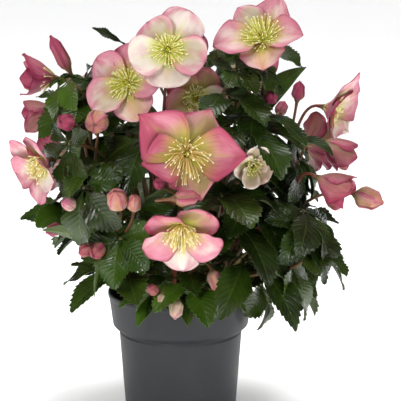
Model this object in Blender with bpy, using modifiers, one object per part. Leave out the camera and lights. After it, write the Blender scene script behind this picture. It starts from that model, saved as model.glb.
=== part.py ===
"""Potted hellebore: a nursery pot filled with soil, and a flowering hellebore plant.

Everything built is in metres. The plan tables give positions and lengths in millimetres.
The origin is the centre of the pot's underside, +Z is up and -Y is the front.
Azimuths run from the front (-Y) towards +X, elevations run up from level, both in degrees.
"""

import math
import random
from typing import NamedTuple

import bmesh
import bpy
from mathutils import Matrix, Vector

OBJECT_NAME = "potted_hellebore"
MM = 0.001
# Distances within which points count as one, before and after a union
WELD = 0.02
FINE_WELD = 0.002

# Pot, a turned shell with a rolled band under its rim
POT_SIDES = 32
POT_HEIGHT = 125.0
RIM_RADIUS = 70.0
RIM_LAND = 2.2
RIM_EDGE = 0.8
BAND_HEIGHT = 33.0
BAND_FOOT_RADIUS = 65.4
SHOULDER_HEIGHT = 87.5
SHOULDER_RADIUS = 59.6
GROOVE_DEPTH = 0.8
GROOVE_HEIGHT = 2.0
BASE_RADIUS = 53.0
BASE_EDGE = 1.5
WALL = 2.0
FLOOR = 2.5
DRAIN_HOLES = 6
DRAIN_RING_RADIUS = 36.0
DRAIN_RADIUS = 5.0
DRAIN_SIDES = 8
PIN_EXCESS = 2.0

# Soil, a turned plug a small gap away from the pot
GAP = 0.3
SOIL_EDGE_HEIGHT = 111.0
SOIL_CROWN_HEIGHT = 114.0
HOLE_SIDES = 6
ROOT_DEPTH = 18.0

# Colours
POT_COLOUR = (0.055, 0.058, 0.066)
SOIL_COLOUR = (0.03, 0.02, 0.013)
STEM_COLOUR = (0.2, 0.06, 0.04)
LEAF_COLOUR = (0.03, 0.09, 0.03)
STAMEN_COLOUR = (0.75, 0.68, 0.2)
TINTS = {
    "pink": (0.72, 0.25, 0.33),
    "pale": (0.84, 0.66, 0.6),
    "dusky": (0.5, 0.26, 0.22),
}

# Blooms
TEPALS = 5
TEPAL_THICKNESS = 0.7
# Shares of a tepal's length at which its rows lie, on an open and on a closed bloom
TEPAL_STOPS = (0.0, 0.25, 0.55, 0.83, 1.0)
CLOSED_TEPAL_STOPS = (0.0, 0.32, 0.74, 1.0)
TEPAL_BASE_SHARE = 0.12
TEPAL_BROADEST = 0.58
# Ranges of the cupping, of the waviness and of the bluntness of a tepal
TEPAL_CUP = (0.1, 0.2)
TEPAL_WAVE = (0.02, 0.08)
TEPAL_BLUNTNESS = (2.0, 2.6)
TEPAL_RIPPLE = 7.0
TEPAL_START_RADIUS = 2.0
FLOOR_RADIUS = 3.2
OVERLAP_TILT = 0.2
LEAST_CURL = 0.01
# Signs of the left and the right edge of each tepal: +1 lies over its neighbour, -1 under it
OVERLAP_SIGNS = ((-1, -1), (1, 1), (-1, -1), (1, 1), (-1, 1))
HEAD_SEAT = 1.3
NECK_LENGTH = 3.0
BOSS_RADIUS = 1.5
BOSS_CLEARANCE = 0.9
ANTHER_SHARE = 0.8
# Heights of the normals of the boss's faces that bear spikes, and of its inner ring
LOWEST_SPIKE = 0.1
INNER_SPIKE = 0.5

LEAF_THICKNESS = 0.8
# Shares of a leaflet's length at which its rows lie, and those of them that are notches
LEAF_STOPS = (0.0, 0.3, 0.5, 0.56, 0.76, 0.82, 1.0)
SIDE_LEAF_STOPS = (0.0, 0.35, 0.6, 0.67, 1.0)
LEAF_NOTCHES = (0.56, 0.67, 0.82)
NOTCH_SHARE = 0.8
LEAFLET_BROADEST = 0.55
# Ranges of the fold along the middle and of the waviness of a leaflet
LEAFLET_FOLD = (0.16, 0.34)
LEAFLET_WAVE = (0.05, 0.2)
LEAFLET_RIPPLE = 9.0
LEAF_HUB_RADIUS = 4.5
LEAF_ROOT_RADIUS = 44.0
COMPANION_NODE = -3
# Turn from the middle leaflet and share of its size, for a fan of three or five leaflets
LEAFLET_FANS = {
    3: ((-62.0, 0.9), (0.0, 1.0), (62.0, 0.9)),
    5: ((-112.0, 0.72), (-56.0, 0.9), (0.0, 1.0), (56.0, 0.9), (112.0, 0.72)),
}
PETIOLE_RADIUS = 1.9

BRACT_THICKNESS = 0.7
BRACT_STOPS = (0.0, 0.28, 0.66, 1.0)
BRACT_FOLD = 0.32
BRACT_FOOT = 0.02
STEM_RADIUS = 2.8
FORK_RADIUS = 2.1
PEDICEL_RADIUS = 1.5
NECK_RADIUS = 1.3
NODE_STEP = 6.0
# How strongly a flower stalk turns towards its head at once, and how far its ends lead on
TURN_SHARE = 1.2
STALK_PULL = 0.35
SMALL_BUD = 16.5
# Shares of a bud's length and of its half width at which it swells and narrows
BUD_SHAPE = ((0.0, 0.34), (0.26, 0.98), (0.7, 0.82), (1.0, 0.12))


class Bloom(NamedTuple):
    """One bloom: where its receptacle faces, and how its tepals are cut and bent."""

    name: str
    centre: tuple
    azimuth: float
    elevation: float
    length: float
    width: float
    base_pitch: float
    tip_pitch: float
    roll: float
    fine: bool
    filament_length: float
    seed: int
    tint: str


class Bud(NamedTuple):
    """A closed bud at the end of its own pedicel."""

    tip: tuple
    azimuth: float
    elevation: float
    length: float
    width: float


class Bract(NamedTuple):
    """A plain-edged leaf that grows from a fork."""

    azimuth: float
    elevation: float
    length: float
    width: float
    droop: float
    roll: float


class Stem(NamedTuple):
    """A flowering stem: its root on the soil, its fork, and what it bears."""

    name: str
    root: tuple
    fork: tuple
    blooms: tuple
    buds: tuple
    bracts: tuple


class Leaf(NamedTuple):
    """A fan of three or five toothed leaflets on its own stalk."""

    name: str
    azimuth: float
    reach: float
    height: float
    length: float
    width: float
    tilt: float
    rise: float
    droop: float
    leaflets: int
    seed: int


BLOOMS = (
    Bloom("bloom_01", (-10, -75, 367), 0, 18, 37, 35, 56, 88, 35, True, 12, 1, "pale"),
    Bloom("bloom_02", (-47, -50, 333), -15, 20, 36, 33, 50, 84, 12, True, 12, 2, "pink"),
    Bloom("bloom_03", (77, -30, 371), -15, 36, 43, 34, 48, 80, 24, True, 14, 3, "pink"),
    Bloom("bloom_04", (7, -122, 281), 5, 14, 49, 41, 54, 90, 28, True, 16, 4, "pink"),
    Bloom("bloom_05", (-122, -55, 262), -50, -15, 38, 33, 42, 74, 30, False, 12, 5, "pale"),
    Bloom("bloom_06", (3, -120, 216), 0, -35, 40, 36, 48, 88, 36, True, 12, 6, "pale"),
    Bloom("bloom_07", (134, -38, 309), 60, -10, 37, 32, 38, 66, 0, False, 11, 7, "pink"),
    Bloom("bloom_08", (14, -22, 316), 8, 12, 32, 29, 50, 78, 30, False, 10, 8, "pale"),
    Bloom("bloom_09", (64, -84, 264), 20, 0, 24, 22, 34, 46, 0, False, 8, 9, "pale"),
    Bloom("bloom_10", (128, -66, 248), 70, -25, 36, 27, 30, 36, 10, False, 0, 10, "dusky"),
    Bloom("bloom_11", (-118, 4, 330), -85, 5, 36, 31, 36, 60, 18, False, 11, 11, "pink"),
    Bloom("bloom_12", (-122, 38, 292), -110, -10, 33, 26, 30, 42, 0, False, 0, 12, "dusky"),
    Bloom("bloom_13", (138, 6, 268), 110, -35, 34, 27, 32, 46, 0, False, 0, 13, "dusky"),
    Bloom("bloom_14", (-66, 100, 300), 200, 18, 37, 33, 52, 84, 12, False, 12, 14, "pink"),
    Bloom("bloom_15", (62, 106, 322), 165, 20, 38, 33, 50, 82, 0, False, 12, 15, "pale"),
    Bloom("bloom_16", (-6, 62, 348), 175, 48, 36, 32, 50, 84, 24, False, 12, 16, "pink"),
    Bloom("bloom_17", (122, 76, 252), 125, 0, 35, 31, 40, 74, 8, False, 11, 17, "dusky"),
    Bloom("bloom_18", (-116, 84, 236), 235, -10, 35, 31, 38, 72, 30, False, 11, 18, "pink"),
    Bloom("bloom_19", (8, 126, 236), 180, -20, 34, 28, 32, 52, 16, False, 0, 19, "dusky"),
)

STEMS = (
    Stem("stem_left_top", (-20, 8), (-88, 10, 268), ("bloom_11", "bloom_12"),
         (Bud((-122, -2, 372), -90, 62, 38, 15),),
         (Bract(-79, 54, 58, 30, 29, -58), Bract(-102, 12, 55, 12, 37, 53),
          Bract(-4, 27, 58, 26, 103, -24))),
    Stem("stem_left", (-24, -8), (-83, -40, 245), ("bloom_05",),
         (Bud((-108, -76, 302), -30, 10, 18, 18), Bud((-76, -92, 302), -5, 0, 26, 24)),
         (Bract(8, 17, 56, 28, 85, -37), Bract(-33, 19, 54, 28, 95, -41))),
    Stem("stem_left_low", (-24, -22), (-62, -62, 184), (),
         (Bud((-57, -122, 248), -12, 50, 24, 21), Bud((-39, -117, 243), 8, 54, 20, 14),
          Bud((-106, -92, 232), -40, 25, 17, 14), Bud((-124, -66, 196), -60, -15, 17, 14),
          Bud((-78, -100, 182), -20, -20, 19, 16)),
         (Bract(-78, 25, 70, 28, 18, 46), Bract(-24, 13, 65, 24, 98, 61))),
    Stem("stem_centre_top", (-6, -8), (-16, -30, 282), ("bloom_01", "bloom_02", "bloom_08"),
         (), (Bract(-112, 42, 71, 28, 7, 81), Bract(1, 40, 62, 18, 4, 37),
          Bract(18, 15, 64, 28, 55, 56))),
    Stem("stem_front", (6, -22), (12, -66, 226), ("bloom_04", "bloom_09"),
         (Bud((-19, -124, 256), -10, 20, 15, 12), Bud((20, -152, 249), 99, 3, 24, 17)),
         (Bract(-58, 37, 54, 28, 52, 29), Bract(64, 32, 65, 28, 61, -19))),
    Stem("stem_front_low", (2, -38), (-5, -64, 147), ("bloom_06",),
         (Bud((-25, -124, 216), -20, 0, 20, 16), Bud((-28, -94, 152), -30, 30, 14, 12),
          Bud((37, -98, 148), 30, -50, 22, 16), Bud((-4, -96, 122), -10, -60, 18, 15)),
         (Bract(-66, 4, 47, 24, 64, 35), Bract(51, -8, 48, 24, 29, -27),
          Bract(-42, 0, 46, 20, 48, 17), Bract(18, 4, 47, 22, 68, -1))),
    Stem("stem_right_top", (14, 2), (74, -16, 300), ("bloom_03",),
         (Bud((86, -50, 318), 10, 0, 22, 14),),
         (Bract(-114, 34, 63, 30, 34, -86), Bract(103, 67, 71, 24, 42, 41),
          Bract(58, -48, 42, 30, 9, -19))),
    Stem("stem_right", (24, -8), (100, -20, 262), ("bloom_07",),
         (Bud((112, -26, 332), 20, 70, 20, 14),),
         (Bract(58, 58, 59, 28, 104, 2), Bract(149, 4, 49, 26, 51, 87))),
    Stem("stem_right_side", (28, 6), (98, -24, 206), ("bloom_10", "bloom_13"),
         (Bud((190, -44, 219), 75, -15, 28, 24),),
         (Bract(34, -4, 45, 28, 35, -79), Bract(2, -7, 46, 26, 60, 30))),
    Stem("stem_back_left", (-14, 26), (-74, 66, 232), ("bloom_14", "bloom_18"),
         (Bud((-98, 110, 272), 220, 30, 18, 14),),
         (Bract(255, 57, 56, 30, 67, 45), Bract(274, 49, 60, 28, 67, 37),
          Bract(123, 53, 67, 28, 93, 34))),
    Stem("stem_back_right", (14, 26), (70, 62, 236), ("bloom_15", "bloom_17"),
         (Bud((104, 104, 292), 150, 40, 18, 14),),
         (Bract(112, 9, 53, 30, 102, 58), Bract(191, 16, 44, 28, 52, 84),
          Bract(34, 43, 62, 26, 53, 37))),
    Stem("stem_back_top", (0, 16), (2, 60, 268), ("bloom_16", "bloom_19"),
         (Bud((-32, 92, 340), 200, 40, 18, 14),),
         (Bract(171, 64, 67, 30, 60, -12), Bract(245, -15, 50, 28, 86, -67),
          Bract(340, 18, 61, 28, 38, -81))),
)

LEAVES = (
    Leaf("leaf_01", 48, 81, 168, 90, 36, 30, 14, 62, 5, 29),
    Leaf("leaf_02", 37, 81, 208, 80, 36, 22, 14, 52, 5, 22),
    Leaf("leaf_03", -47, 69, 157, 74, 34, 13, 14, 48, 5, 16),
    Leaf("leaf_04", -98, 75, 233, 75, 34, 37, 14, 31, 5, 54),
    Leaf("leaf_05", -26, 62, 284, 70, 34, 26, 14, 58, 5, 12),
    Leaf("leaf_06", 42, 83, 297, 78, 36, 21, 14, 61, 5, 4),
    Leaf("leaf_07", 92, 101, 180, 84, 36, 29, 14, 53, 5, 12),
    Leaf("leaf_08", 101, 81, 144, 84, 36, 27, 14, 62, 5, 37),
    Leaf("leaf_09", 147, 76, 177, 86, 38, 18, 14, 56, 5, 24),
    Leaf("leaf_10", 190, 79, 158, 88, 38, 16, 14, 58, 5, 16),
    Leaf("leaf_11", 245, 81, 181, 66, 38, 23, 14, 45, 5, 10),
    Leaf("leaf_12", -104, 78, 214, 67, 36, 30, 14, 50, 5, 24),
)
# Upper leaves, each of which branches off the stalk of the named leaf
COMPANIONS = {
    "leaf_01": Leaf("upper", 67, 66, 262, 68, 34, 26, 14, 49, 3, 28),
    "leaf_02": Leaf("upper", 11, 72, 149, 62, 30, 12, 14, 60, 3, 23),
    "leaf_03": Leaf("upper", -21, 49, 199, 64, 32, 7, 14, 69, 3, 27),
    "leaf_04": Leaf("upper", -77, 58, 303, 66, 34, 13, 14, 57, 3, 38),
    "leaf_05": Leaf("upper", -74, 60, 329, 62, 32, 16, 14, 48, 3, 33),
    "leaf_06": Leaf("upper", 44, 59, 322, 62, 32, 16, 14, 52, 3, 26),
    "leaf_07": Leaf("upper", 111, 79, 281, 70, 34, 28, 14, 42, 3, 39),
    "leaf_08": Leaf("upper", 96, 33, 271, 62, 28, 12, 14, 70, 3, 31),
    "leaf_09": Leaf("upper", 139, 87, 222, 76, 34, 35, 14, 57, 3, 9),
    "leaf_10": Leaf("upper", 174, 82, 244, 76, 34, 23, 14, 56, 3, 24),
    "leaf_11": Leaf("upper", 199, 82, 219, 76, 34, 26, 14, 65, 3, 59),
    "leaf_12": Leaf("upper", 267, 66, 207, 74, 34, 37, 14, 35, 3, 52),
}


def at(point):
    """Turn a point in millimetres into a vector in metres."""
    return Vector(point) * MM


def facing(azimuth, elevation):
    """Return the unit vector of an azimuth and an elevation."""
    turn = math.radians(azimuth)
    lift = math.radians(elevation)
    return Vector((
        math.sin(turn) * math.cos(lift),
        -math.cos(turn) * math.cos(lift),
        math.sin(lift),
    ))


def head_frame(centre, azimuth, elevation):
    """Return the frame of a head: X to its right, Y up and Z out along its axis."""
    axis = facing(azimuth, elevation)
    turn = math.radians(azimuth)
    right = Vector((math.cos(turn), math.sin(turn), 0.0))
    up = axis.cross(right)
    frame = Matrix((right, up, axis)).transposed().to_4x4()
    frame.translation = at(centre)
    return frame


def finish_mesh(name, mesh_bm, frame=None):
    """Write a closed bmesh to a new object of the build collection, placed by its frame."""
    if frame is not None:
        bmesh.ops.transform(mesh_bm, matrix=frame, verts=mesh_bm.verts)
    bmesh.ops.recalc_face_normals(mesh_bm, faces=mesh_bm.faces)
    return new_body(name, mesh_bm)


def new_body(name, mesh_bm):
    """Write a bmesh to a new object of the build collection and free it."""
    mesh = bpy.data.meshes.new(name)
    mesh_bm.to_mesh(mesh)
    mesh_bm.free()
    body = bpy.data.objects.new(name, mesh)
    bpy.data.collections[OBJECT_NAME].objects.link(body)
    return body


def sheet(stops, columns, place):
    """Return a sheet whose points are set by place(along, across).

    Args:
        stops: shares of the length at which the rows lie, from 0 to 1.
        columns: number of strips across.
        place: function of along (0 to 1) and across (-1 to 1) that returns a point.
    """
    rows = len(stops) - 1
    sheet_bm = bmesh.new()
    bmesh.ops.create_grid(sheet_bm, x_segments=rows, y_segments=columns, size=0.5)
    for vert in sheet_bm.verts:
        along = stops[round((vert.co.x + 0.5) * rows)]
        across = round(vert.co.y * columns) * 2.0 / columns
        vert.co = place(along, across)
    return sheet_bm


def make_blade(name, sheet_bm, thickness, frame=None):
    """Build a thin blade from a sheet, with the same triangles on its face and its back."""
    bmesh.ops.remove_doubles(sheet_bm, verts=sheet_bm.verts, dist=WELD * MM)
    bmesh.ops.dissolve_degenerate(sheet_bm, edges=sheet_bm.edges, dist=WELD * MM)
    bmesh.ops.triangulate(sheet_bm, faces=sheet_bm.faces)
    if frame is not None:
        bmesh.ops.transform(sheet_bm, matrix=frame, verts=sheet_bm.verts)
    body = new_body(name, sheet_bm)
    solid = body.modifiers.new("thickness", "SOLIDIFY")
    solid.thickness = thickness * MM
    solid.offset = -1.0
    solid.use_even_offset = False
    apply_modifiers(body)
    return body


def add_sheet(target_bm, sheet_bm):
    """Move a sheet into another bmesh."""
    mesh = bpy.data.meshes.new("sheet")
    sheet_bm.to_mesh(mesh)
    sheet_bm.free()
    target_bm.from_mesh(mesh)
    bpy.data.meshes.remove(mesh)


def bend(length, start_pitch, end_pitch, along):
    """Return how far a strip has run level and up, when its pitch turns evenly.

    Args:
        length: length of the strip.
        start_pitch: pitch from level at its start, in radians.
        end_pitch: pitch from level at its end, in radians.
        along: share of the length.
    """
    change = end_pitch - start_pitch
    pitch = start_pitch + change * along
    level = length * (math.sin(pitch) - math.sin(start_pitch)) / change
    up = length * (math.cos(start_pitch) - math.cos(pitch)) / change
    return level, up, pitch


def curve_points(start, start_pull, end_pull, end, steps):
    """Return points along a cubic curve with the four given control points."""
    points = []
    for step in range(steps + 1):
        t = step / steps
        u = 1.0 - t
        points.append(
            start * u ** 3 + start_pull * 3 * u * u * t + end_pull * 3 * u * t * t + end * t ** 3
        )
    return points


def tube(name, points, radii, fineness):
    """Return a closed tube along points; fineness 0 gives four sides and 1 gives six."""
    path = bpy.data.curves.new(name, "CURVE")
    path.dimensions = "3D"
    path.bevel_depth = MM
    path.bevel_resolution = fineness
    path.use_fill_caps = True
    spline = path.splines.new("POLY")
    spline.points.add(len(points) - 1)
    for spot, point, radius in zip(spline.points, points, radii):
        spot.co = (*point, 1.0)
        spot.radius = radius
    curve_object = bpy.data.objects.new(name, path)
    bpy.data.collections[OBJECT_NAME].objects.link(curve_object)
    bpy.context.view_layer.update()
    evaluated = curve_object.evaluated_get(bpy.context.evaluated_depsgraph_get())
    mesh = bpy.data.meshes.new_from_object(evaluated)
    tube_bm = bmesh.new()
    tube_bm.from_mesh(mesh)
    bmesh.ops.remove_doubles(tube_bm, verts=tube_bm.verts, dist=FINE_WELD * MM)
    bpy.data.objects.remove(curve_object)
    bpy.data.curves.remove(path)
    bpy.data.meshes.remove(mesh)
    return finish_mesh(name, tube_bm)


def fuse(pieces, name):
    """Join pieces into one solid with one Boolean union, and name it."""
    base = pieces[0]
    if len(pieces) > 1:
        repeats = bpy.data.collections.new(name + "_repeats")
        bpy.context.scene.collection.children.link(repeats)
        for piece in pieces[1:]:
            repeats.objects.link(piece)
        union = base.modifiers.new("union", "BOOLEAN")
        union.operation = "UNION"
        union.operand_type = "COLLECTION"
        union.collection = repeats
        union.solver = "EXACT"
        apply_modifiers(base)
        for piece in pieces[1:]:
            bpy.data.objects.remove(piece)
        bpy.data.collections.remove(repeats)
    base.name = name
    base.data.name = name
    return base


def apply_modifiers(body):
    """Replace the mesh of a body by what its modifiers make of it."""
    bpy.context.view_layer.update()
    evaluated = body.evaluated_get(bpy.context.evaluated_depsgraph_get())
    mesh = bpy.data.meshes.new_from_object(evaluated)
    body.modifiers.clear()
    body.data = mesh


def keep_main_body(body):
    """Weld what lies on one point, and drop loose scraps so that the body is one solid."""
    mesh_bm = bmesh.new()
    mesh_bm.from_mesh(body.data)
    bmesh.ops.remove_doubles(mesh_bm, verts=mesh_bm.verts, dist=FINE_WELD * MM)
    bmesh.ops.dissolve_degenerate(mesh_bm, edges=mesh_bm.edges, dist=FINE_WELD * MM)
    bmesh.ops.triangulate(mesh_bm, faces=mesh_bm.faces)
    islands = []
    unseen = set(mesh_bm.verts)
    while unseen:
        island = set()
        waiting = [unseen.pop()]
        while waiting:
            vert = waiting.pop()
            island.add(vert)
            for edge in vert.link_edges:
                other = edge.other_vert(vert)
                if other in unseen:
                    unseen.remove(other)
                    waiting.append(other)
        islands.append(island)
    islands.sort(key=len, reverse=True)
    for island in islands[1:]:
        bmesh.ops.delete(mesh_bm, geom=list(island), context="VERTS")
    mesh_bm.to_mesh(body.data)
    mesh_bm.free()


def finish(body, colour, roughness, smooth=True):
    """Give a body its own material and shading."""
    material = bpy.data.materials.new(body.name + "_surface")
    material.use_nodes = True
    shader = material.node_tree.nodes["Principled BSDF"]
    shader.inputs["Base Color"].default_value = (*colour, 1.0)
    shader.inputs["Roughness"].default_value = roughness
    material.diffuse_color = (*colour, 1.0)
    body.data.materials.clear()
    body.data.materials.append(material)
    for polygon in body.data.polygons:
        polygon.use_smooth = smooth


def turned(name, profile, sides):
    """Turn a closed profile of (radius, height) points about the upright axis."""
    profile_bm = bmesh.new()
    verts = [profile_bm.verts.new((radius * MM, 0.0, height * MM)) for radius, height in profile]
    for first, second in zip(verts, verts[1:]):
        profile_bm.edges.new((first, second))
    mesh = bpy.data.meshes.new(name)
    profile_bm.to_mesh(mesh)
    profile_bm.free()
    body = bpy.data.objects.new(name, mesh)
    bpy.data.collections[OBJECT_NAME].objects.link(body)
    screw = body.modifiers.new("turn", "SCREW")
    screw.steps = sides
    screw.render_steps = sides
    screw.use_merge_vertices = True
    screw.merge_threshold = 0.00001
    screw.use_normal_calculate = True
    apply_modifiers(body)
    return body


def cutters():
    """Return the collection of the cutters, which is made on its first use."""
    name = OBJECT_NAME + "_cutters"
    if name not in bpy.data.collections:
        bpy.context.scene.collection.children.link(bpy.data.collections.new(name))
    return bpy.data.collections[name]


def pin(name, x, y, low, high, radius, sides):
    """Return an upright cutter at a place in millimetres."""
    pin_bm = bmesh.new()
    bmesh.ops.create_cone(
        pin_bm, cap_ends=True, segments=sides, radius1=radius * MM, radius2=radius * MM,
        depth=(high - low) * MM,
    )
    place = Matrix.Translation(at((x, y, (low + high) / 2)))
    cutter = finish_mesh(name, pin_bm, place)
    bpy.data.collections[OBJECT_NAME].objects.unlink(cutter)
    cutters().objects.link(cutter)
    cutter.hide_render = True
    cutter.display_type = "WIRE"
    return cutter


def cut(body, pins):
    """Cut the pins out of a body and remove them."""
    group = bpy.data.collections.new(body.name + "_pins")
    cutters().children.link(group)
    for cutter in pins:
        group.objects.link(cutter)
    bore = body.modifiers.new("bore", "BOOLEAN")
    bore.operation = "DIFFERENCE"
    bore.operand_type = "COLLECTION"
    bore.collection = group
    bore.solver = "EXACT"
    apply_modifiers(body)
    for cutter in pins:
        bpy.data.objects.remove(cutter)
    bpy.data.collections.remove(group)


def make_pot():
    """Build the pot shell with its band, groove and drain holes."""
    band_foot = POT_HEIGHT - BAND_HEIGHT
    groove_top = SHOULDER_HEIGHT
    groove_foot = SHOULDER_HEIGHT - GROOVE_HEIGHT
    outer = [
        (RIM_RADIUS - RIM_EDGE, POT_HEIGHT),
        (RIM_RADIUS, POT_HEIGHT - RIM_EDGE),
        (BAND_FOOT_RADIUS, band_foot),
        (SHOULDER_RADIUS, groove_top),
        (SHOULDER_RADIUS - GROOVE_DEPTH, 0.5 * (groove_top + groove_foot)),
        (SHOULDER_RADIUS, groove_foot),
        (BASE_RADIUS, BASE_EDGE),
        (BASE_RADIUS - BASE_EDGE, 0.0),
        (0.0, 0.0),
    ]
    inner = [
        (0.0, FLOOR),
        (BASE_RADIUS - WALL, FLOOR),
        (SHOULDER_RADIUS - GROOVE_DEPTH - WALL, SHOULDER_HEIGHT),
        (RIM_RADIUS - RIM_LAND, POT_HEIGHT),
    ]
    pot = turned("pot", outer + inner + outer[:1], POT_SIDES)
    pins = []
    for number in range(DRAIN_HOLES):
        turn = 2 * math.pi * (number + 0.5) / DRAIN_HOLES
        x = DRAIN_RING_RADIUS * math.cos(turn)
        y = DRAIN_RING_RADIUS * math.sin(turn)
        low = -PIN_EXCESS
        high = FLOOR + PIN_EXCESS
        pins.append(pin("drain_pin", x, y, low, high, DRAIN_RADIUS, DRAIN_SIDES))
    cut(pot, pins)
    finish(pot, POT_COLOUR, 0.42, smooth=False)
    return pot


def make_soil(roots):
    """Build the soil plug with a plain hole for each root."""
    wall_foot = SHOULDER_RADIUS - GROOVE_DEPTH - WALL
    wall_slope = (RIM_RADIUS - RIM_LAND - wall_foot) / (POT_HEIGHT - SHOULDER_HEIGHT)
    edge_radius = wall_foot + wall_slope * (SOIL_EDGE_HEIGHT - SHOULDER_HEIGHT)
    profile = [
        (0.0, SOIL_CROWN_HEIGHT),
        (edge_radius * 0.55, SOIL_CROWN_HEIGHT - 0.6),
        (edge_radius - GAP, SOIL_EDGE_HEIGHT),
        (wall_foot - GAP, SHOULDER_HEIGHT),
        (BASE_RADIUS - WALL - GAP, FLOOR + GAP),
        (0.0, FLOOR + GAP),
    ]
    soil = turned("soil", profile, POT_SIDES)
    pins = []
    for x, y, radius in roots:
        hole_radius = (radius + GAP) / math.cos(math.pi / HOLE_SIDES)
        low = SOIL_CROWN_HEIGHT - ROOT_DEPTH - GAP
        high = SOIL_CROWN_HEIGHT + PIN_EXCESS
        pins.append(pin("root_pin", x, y, low, high, hole_radius, HOLE_SIDES))
    cut(soil, pins)
    finish(soil, SOIL_COLOUR, 0.95, smooth=False)
    return soil


def tepal_half_width(along, width, bluntness):
    """Return the half width of a tepal at a share of its length."""
    if along <= TEPAL_BROADEST:
        swell = math.sin(0.5 * math.pi * along / TEPAL_BROADEST) ** 1.8
        return 0.5 * width * (TEPAL_BASE_SHARE + (1.0 - TEPAL_BASE_SHARE) * swell)
    rest = (along - TEPAL_BROADEST) / (1.0 - TEPAL_BROADEST)
    return 0.5 * width * max(0.0, 1.0 - rest ** bluntness) ** 0.7


def bloom_turns(bloom):
    """Return the direction of each tepal of a bloom about its axis, in degrees."""
    rng = random.Random(bloom.seed)
    return [bloom.roll + 360.0 * number / TEPALS + rng.uniform(-4, 4) for number in range(TEPALS)]


def around(turn, radius, height):
    """Return a point of a head's frame in millimetres, turned clockwise from its top."""
    angle = math.radians(turn)
    return Vector((radius * math.sin(angle), radius * math.cos(angle), height))


def tepal_place(bloom, number, turns):
    """Return the function that places the points of one tepal in its bloom's frame."""
    rng = random.Random(bloom.seed * 10 + number)
    length = bloom.length * rng.uniform(0.94, 1.06)
    width = bloom.width * rng.uniform(0.94, 1.06)
    start = math.radians(90.0 - bloom.base_pitch)
    end = math.radians(90.0 - bloom.tip_pitch + rng.uniform(-8, 8))
    cup = rng.uniform(*TEPAL_CUP)
    wave = rng.uniform(*TEPAL_WAVE)
    phase = rng.uniform(0, 2 * math.pi)
    bluntness = rng.uniform(*TEPAL_BLUNTNESS)
    signs = OVERLAP_SIGNS[number]
    radial = around(turns[number], 1.0, 0.0)
    side = around(turns[number] - 90.0, 1.0, 0.0)
    axis = Vector((0.0, 0.0, 1.0))
    previous = turns[number - 1] - (360.0 if number == 0 else 0.0)
    following = turns[(number + 1) % TEPALS] + (360.0 if number == TEPALS - 1 else 0.0)
    corner_before = around(0.5 * (previous + turns[number]), FLOOR_RADIUS, 0.0)
    corner_after = around(0.5 * (following + turns[number]), FLOOR_RADIUS, 0.0)

    def place(along, across):
        if along == 0.0:
            return Vector() if across == 0 else (corner_after if across < 0 else corner_before) * MM
        half = tepal_half_width(along, width, bluntness)
        out, up, pitch = bend(length, start, end, along)
        radius = TEPAL_START_RADIUS + out
        inward = axis * math.cos(pitch) - radial * math.sin(pitch)
        # An upright tepal curls about the bloom's axis, and a level one lies flat
        upright = max(LEAST_CURL, math.sin(pitch))
        curl_radius = radius / upright
        curl = half * across / curl_radius
        sign = signs[1] if across < 0 else signs[0]
        lift = half * cup * (1.0 - upright) * across * across
        lift += half * OVERLAP_TILT * sign * abs(across)
        lift += half * wave * math.sin(TEPAL_RIPPLE * along + phase) * across
        spine = radial * radius + axis * up
        arc = side * math.sin(curl) + inward * (1.0 - math.cos(curl))
        normal = inward * math.cos(curl) - side * math.sin(curl)
        return (spine + arc * curl_radius + normal * lift) * MM

    return place


def make_bloom(bloom):
    """Build the five tepals of a bloom as one blade about its middle."""
    frame = head_frame(bloom.centre, bloom.azimuth, bloom.elevation)
    turns = bloom_turns(bloom)
    bloom_bm = bmesh.new()
    for number in range(TEPALS):
        stops = TEPAL_STOPS if bloom.fine else CLOSED_TEPAL_STOPS
        add_sheet(bloom_bm, sheet(stops, 2, tepal_place(bloom, number, turns)))
    body = make_blade(bloom.name, bloom_bm, TEPAL_THICKNESS, frame)
    finish(body, TINTS[bloom.tint], 0.5)
    return body


def make_stamens(bloom):
    """Build the stamens of a bloom as spikes drawn out of the faces of a small boss."""
    rng = random.Random(bloom.seed * 10 + 7)
    frame = head_frame(bloom.centre, bloom.azimuth, bloom.elevation)
    boss_bm = bmesh.new()
    bmesh.ops.create_icosphere(boss_bm, subdivisions=1, radius=BOSS_RADIUS * MM)
    middle = Vector((0.0, 0.0, (BOSS_RADIUS + BOSS_CLEARANCE) * MM))
    bmesh.ops.translate(boss_bm, vec=middle, verts=boss_bm.verts)
    buds = [face for face in boss_bm.faces if face.normal.z > LOWEST_SPIKE]
    drawn = bmesh.ops.extrude_discrete_faces(boss_bm, faces=buds)["faces"]
    widest = 0.62 * bloom.base_pitch + 6.0
    for face in drawn:
        level = Vector((face.normal.x, face.normal.y, 0.0)).normalized()
        pitch = widest * (1.0 if face.normal.z < INNER_SPIKE else 0.45) + rng.uniform(-5, 5)
        lean = math.radians(pitch)
        axis = level * math.sin(lean) + Vector((0.0, 0.0, math.cos(lean)))
        foot = face.calc_center_median()
        tip = foot + axis * (bloom.filament_length * rng.uniform(0.85, 1.05) * MM)
        swing = face.normal.rotation_difference(axis)
        for vert in face.verts:
            vert.co = tip + swing @ (vert.co - foot) * ANTHER_SHARE
    body = finish_mesh(bloom.name + "_stamens", boss_bm, frame)
    finish(body, STAMEN_COLOUR, 0.6, smooth=False)
    return body


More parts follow.
